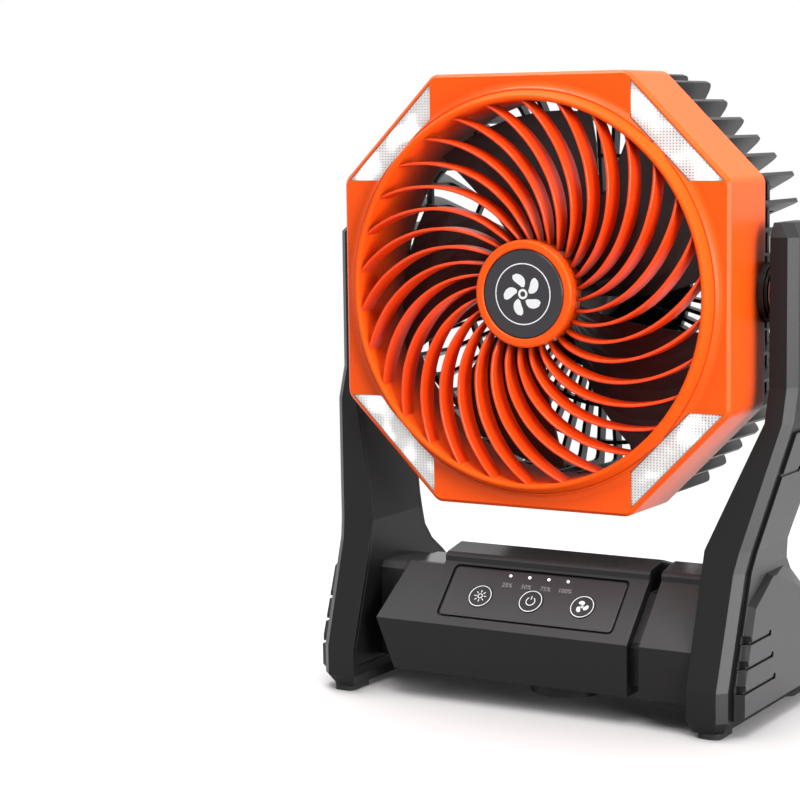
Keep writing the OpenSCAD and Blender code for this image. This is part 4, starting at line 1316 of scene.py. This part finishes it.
    def duct_profile(self) -> list[Pair]:
        """Draw the duct's section, round its wall once.

        Returns:
            The radius and depth of each point.
        """
        inner, outer = self.duct_radius, self.duct_radius + self.duct_wall
        rim = outer + self.rim_out
        flare, foot = inner + self.duct_flare[0], outer + self.duct_flare[1]
        away, curl = self.collar_crest
        first, last = (math.radians(a) for a in self.crest_turn)
        crest = [
            (inner + away + curl * math.cos(a), self.collar_front + curl - curl * math.sin(a))
            for a in (first + (last - first) * k / self.nose_steps for k in range(self.nose_steps + 1))
        ]
        return [
            (rim, self.rim_back),
            (rim, -self.rim_lift),
            *crest,
            *((inner, depth) for depth in self.duct_throat),
            (flare, self.duct_back),
            (foot, self.duct_back),
            (foot, self.duct_back - self.duct_foot[0]),
            (outer, self.duct_back - self.duct_foot[1]),
            (outer, self.rim_back),
        ]

    def hub_profile(self) -> list[Pair]:
        """Draw the hub cup's section, round its wall once.

        Returns:
            The radius and depth of each point.
        """
        hub, badge, front, bead = self.hub_radius, self.badge_radius, self.hub_front, self.hub_bead
        edge = [
            (hub - bead + bead * math.cos(a), front + bead - bead * math.sin(a))
            for a in (math.pi / 2 * k / self.bead_steps for k in range(self.bead_steps + 1))
        ]
        floor, under = (front + depth for depth in self.hub_floor)
        return [
            (hub, self.hub_back),
            *edge,
            (badge + self.hub_lip[0], front),
            (badge, front + self.hub_lip[1]),
            (badge, floor),
            (0.0, floor),
            (0.0, under),
            (hub - self.hub_wall, under),
            (hub - self.hub_wall, self.hub_back),
        ]

    def revolve(self, name: str, profile: Sequence[Pair], surface: Surface) -> None:
        """Turn a closed section about the head's axis and keep it as a piece.

        Args:
            name: the piece's name.
            profile: radius and depth of each point, in order.
            surface: what it is made of.
        """
        points = []
        for i in range(self.round_steps):
            turn = TURN * i / self.round_steps
            for radius, depth in profile:
                across, up = radius * MM * math.cos(turn), radius * MM * math.sin(turn)
                points.append((self.axis.x + across, self.face + depth * MM, self.axis.z + up))
        faces = rows_of_faces(self.round_steps, len(profile), True)
        mesh = shell(name, points, faces, self.smooth_under)
        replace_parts(keep(name, mesh, surface, "head"), "spiral_grille")

    def build(self) -> None:
        """Dress the head and add its prints, prisms and grille."""
        self.finishes()
        self.badge()
        self.lenses()
        self.grille()
        cross_recess_painted_shadows(self.frame, "head_screws", BACKWARDS, self.shell_cross, "head")
        cross_recess_painted_shadows(self.frame, "motor_screws", BACKWARDS, self.motor_cross, "head")


@dataclass
class Rotor:
    """Impeller with its shaft and nut."""

    frame: dict

    def build(self) -> None:
        """Dress the rotor's solids."""
        dress(self.frame, NYLON, ["impeller"])
        dress(self.frame, STEEL, ["motor_shaft"])
        dress(self.frame, BRASS, ["impeller_nut"])


@dataclass
class ControlPanel:
    """Inlay, buttons, charge lights and their prints, in millimetres and degrees."""

    frame: dict
    buttons: tuple[str, ...] = ("light_button", "power_button", "fan_button")
    ring: float = 6.1
    line: float = 0.45
    sun_disc: float = 1.25
    sun_ray: Pair = (2.1, 3.5)
    sun_rays: int = 8
    power_arc: tuple[float, float, float] = (2.4, 125, 415)
    power_bar: Pair = (1.0, 3.2)
    fan_eye: Pair = (0.55, 0.5)
    fan_blades: int = 3
    fan_blade: tuple[float, float, float, float] = (1.1, 3.6, 76, 30)
    charge_steps: tuple[int, ...] = (25, 50, 75, 100)
    label_size: float = 3.6
    label_drop: float = 2.8
    label_thick: float = 0.04
    light_radius: float = 0.62

    def top(self, node: str) -> tuple[Sheet, list[Vector]]:
        """Return the sheet of a node's sloping top face, and the corners of that face.

        Args:
            node: the panel or a button.

        Returns:
            The sheet, whose origin lies where the face would meet the ground, and the corners.
        """
        press = next(j for j in self.frame["joints"] if j["child"] == self.buttons[1])
        normal = -Vector(press["axis"]).normalized()
        level, corners = reach(self.frame, node, normal)
        return Sheet(Vector((0.0, level / normal.y, 0.0)), RIGHT, normal.cross(RIGHT)), corners

    def sun(self, ink: Print) -> None:
        """Print a sun: the lamp button's sign.

        Args:
            ink: the print on its button.
        """
        ink.arc(self.sun_disc, self.line, steps=32)
        for i in range(self.sun_rays):
            ink.ray(i * 360 / self.sun_rays, *self.sun_ray, self.line)

    def power(self, ink: Print) -> None:
        """Print the power sign: an open ring and a bar.

        Args:
            ink: the print on its button.
        """
        radius, start, end = self.power_arc
        ink.arc(radius, self.line, start, end, steps=40)
        ink.ray(90, *self.power_bar, self.line)

    def fan(self, ink: Print) -> None:
        """Print a three-blade fan sign.

        Args:
            ink: the print on its button.
        """
        ink.arc(*self.fan_eye, steps=20)
        for i in range(self.fan_blades):
            ink.blade(90 + i * 360 / self.fan_blades, *self.fan_blade)

    def signs(self) -> None:
        """Print each button's ring and sign on its cap."""
        drawings: list[Callable[[Print], None]] = [self.sun, self.power, self.fan]
        for node, drawing in zip(self.buttons, drawings):
            top, corners = self.top(node)
            low, high = (Vector([pick(c[i] for c in corners) for i in range(3)]) for pick in (min, max))
            ink = Print(replace(top, origin=(low + high) / 2))
            ink.arc(self.ring, self.line, steps=64)
            drawing(ink)
            ink.done(f"{node}_print", PRINT_WHITE, node)

    def labels(self) -> None:
        """Print each charge step's number under its light."""
        low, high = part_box("charge_lights")
        first, last = low.x + self.light_radius * MM, high.x - self.light_radius * MM
        top, _ = self.top("control_panel")
        up = (low.z + high.z) / 2 / top.up.z / MM
        for i, step in enumerate(self.charge_steps):
            x = first + (last - first) * i / (len(self.charge_steps) - 1)
            where = replace(top, origin=top.at(x / MM, up - self.label_drop))
            self.label(f"charge_label_{step}", f"{step}%", where)

    def label(self, name: str, words: str, where: Sheet) -> None:
        """Print one short number, centred on a sheet's origin.

        Args:
            name: the piece's name.
            words: what it says.
            where: the sheet.
        """
        curve = bpy.data.curves.new(name, "FONT")
        curve.body = words
        curve.size = self.label_size * MM
        curve.align_x = "CENTER"
        curve.align_y = "CENTER"
        curve.extrude = self.label_thick * MM
        holder = bpy.data.objects.new(name, curve)
        bpy.context.scene.collection.objects.link(holder)
        mesh = evaluated(holder)
        bpy.data.objects.remove(holder)
        turn = Matrix((where.right, where.up, where.normal)).transposed().to_4x4()
        mesh.transform(Matrix.Translation(where.origin) @ turn)
        keep(name, mesh, PRINT_GREY, "stand")

    def build(self) -> None:
        """Dress the panel and print its signs and labels."""
        dress(self.frame, PANEL_ABS, ["control_panel"])
        dress(self.frame, BUTTON_ABS, self.buttons)
        dress(self.frame, CHARGE_GLOW, ["charge_lights"])
        self.signs()
        self.labels()


@dataclass(frozen=True)
class Socket:
    """The tongue and contacts inside one of the sockets, in millimetres.

    The tongue keeps clear of the shell at its sides, its inner end and its mouth, and lies between two
    levels that count upwards from the shell's middle.
    """

    name: str
    clear: tuple[float, float, float]
    levels: Pair
    contacts: int
    contact_half: float
    contact_short: float = 0.6
    contact_proud: float = 0.05

    def fill(self) -> None:
        """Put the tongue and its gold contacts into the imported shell."""
        low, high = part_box(f"{self.name}_port")
        side, end, mouth = (value * MM for value in self.clear)
        under, over = ((low.z + high.z) / 2 + level * MM for level in self.levels)
        tongue_low = Vector((low.x + side, low.y + end, under))
        tongue_high = Vector((high.x - side, high.y - mouth, over))
        block(f"{self.name}_tongue", tongue_low, tongue_high, TONGUE, "stand")
        step = (tongue_high.x - tongue_low.x) / self.contacts
        half, proud = self.contact_half * MM, self.contact_proud * MM
        for i in range(self.contacts):
            x = tongue_low.x + (i + 0.5) * step
            corner = Vector((x - half, tongue_low.y, under - proud))
            opposite = Vector((x + half, tongue_high.y - self.contact_short * MM, under + proud))
            block(f"{self.name}_contact_{i + 1}", corner, opposite, CONTACT_GOLD, "stand")


@dataclass
class Stand:
    """Arms, side covers, base, electronics and hook, in millimetres."""

    frame: dict
    polish_from: Pair = (2.0, 3.0)
    base_cross: float = 1.7
    hexagon: float = 3.2
    sockets: tuple[Socket, ...] = (
        Socket("usb_a", clear=(1.3, 1.3, 1.2), levels=(0.5, 2.3), contacts=4, contact_half=0.5),
        Socket("usb_c", clear=(1.4, 1.3, 0.9), levels=(-0.4, 0.4), contacts=8, contact_half=0.13),
    )

    def finishes(self) -> None:
        """Dress the stand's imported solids."""
        sides = ("left", "right")
        dress(self.frame, ARM_ABS, [f"{s}_{part}" for s in sides for part in ("arm", "arm_liner")])
        dress(self.frame, COVER_ABS, [f"{s}_side_cover" for s in sides])
        dress(self.frame, BOTTOM_ABS_PAINTED_DARK, ["base_lower", "hanging_hook"])
        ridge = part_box("control_panel")[1].y / MM
        polished = tuple(ridge + behind for behind in self.polish_from)
        dress(self.frame, replace(BASE_ABS, polished_from_mm=polished), ["base_upper"])
        dress(self.frame, RUBBER, ["foot_pads"])
        dress(self.frame, STEEL, ["pivot_bolts", "friction_washers", "base_screws", "arm_screws", "hook_pin"])
        dress(self.frame, STEEL, ["usb_a_port", "usb_c_port"])
        dress(self.frame, SOLDER_MASK, ["main_board"])
        dress(self.frame, CELL_WRAP, [n for n in self.frame["nodes"] if n.startswith("battery_cell_")])

    def bolt_recess_painted_shadows(self) -> None:
        """Paint a hexagon recess's shadow on the head of each tilt bolt, as a thin dark hexagon."""
        for side, way in (("right", RIGHT), ("left", -RIGHT)):
            sheets = screw_faces(self.frame, "pivot_bolts", way)
            ink = Print(max(sheets, key=lambda sheet: sheet.origin.dot(way)), RECESS_MM)
            ink.arc(self.hexagon / 2, self.hexagon, steps=6)
            ink.done(f"tilt_bolt_painted_shadow_{side}", PAINTED_SCREW_SHADOW, "stand")

    def build(self) -> None:
        """Dress the stand, and add its painted recess shadows, tongues and contacts."""
        self.finishes()
        cross_recess_painted_shadows(self.frame, "base_screws", -UP, self.base_cross, "stand")
        for socket in self.sockets:
            socket.fill()
        self.bolt_recess_painted_shadows()


def main() -> None:
    """Build every class in order."""
    logging.basicConfig(level=logging.INFO, format="%(message)s")
    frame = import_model()
    Studio().build()
    for part in (FanHead(frame), Rotor(frame), ControlPanel(frame), Stand(frame)):
        part.build()


if __name__ == "__main__":
    main()
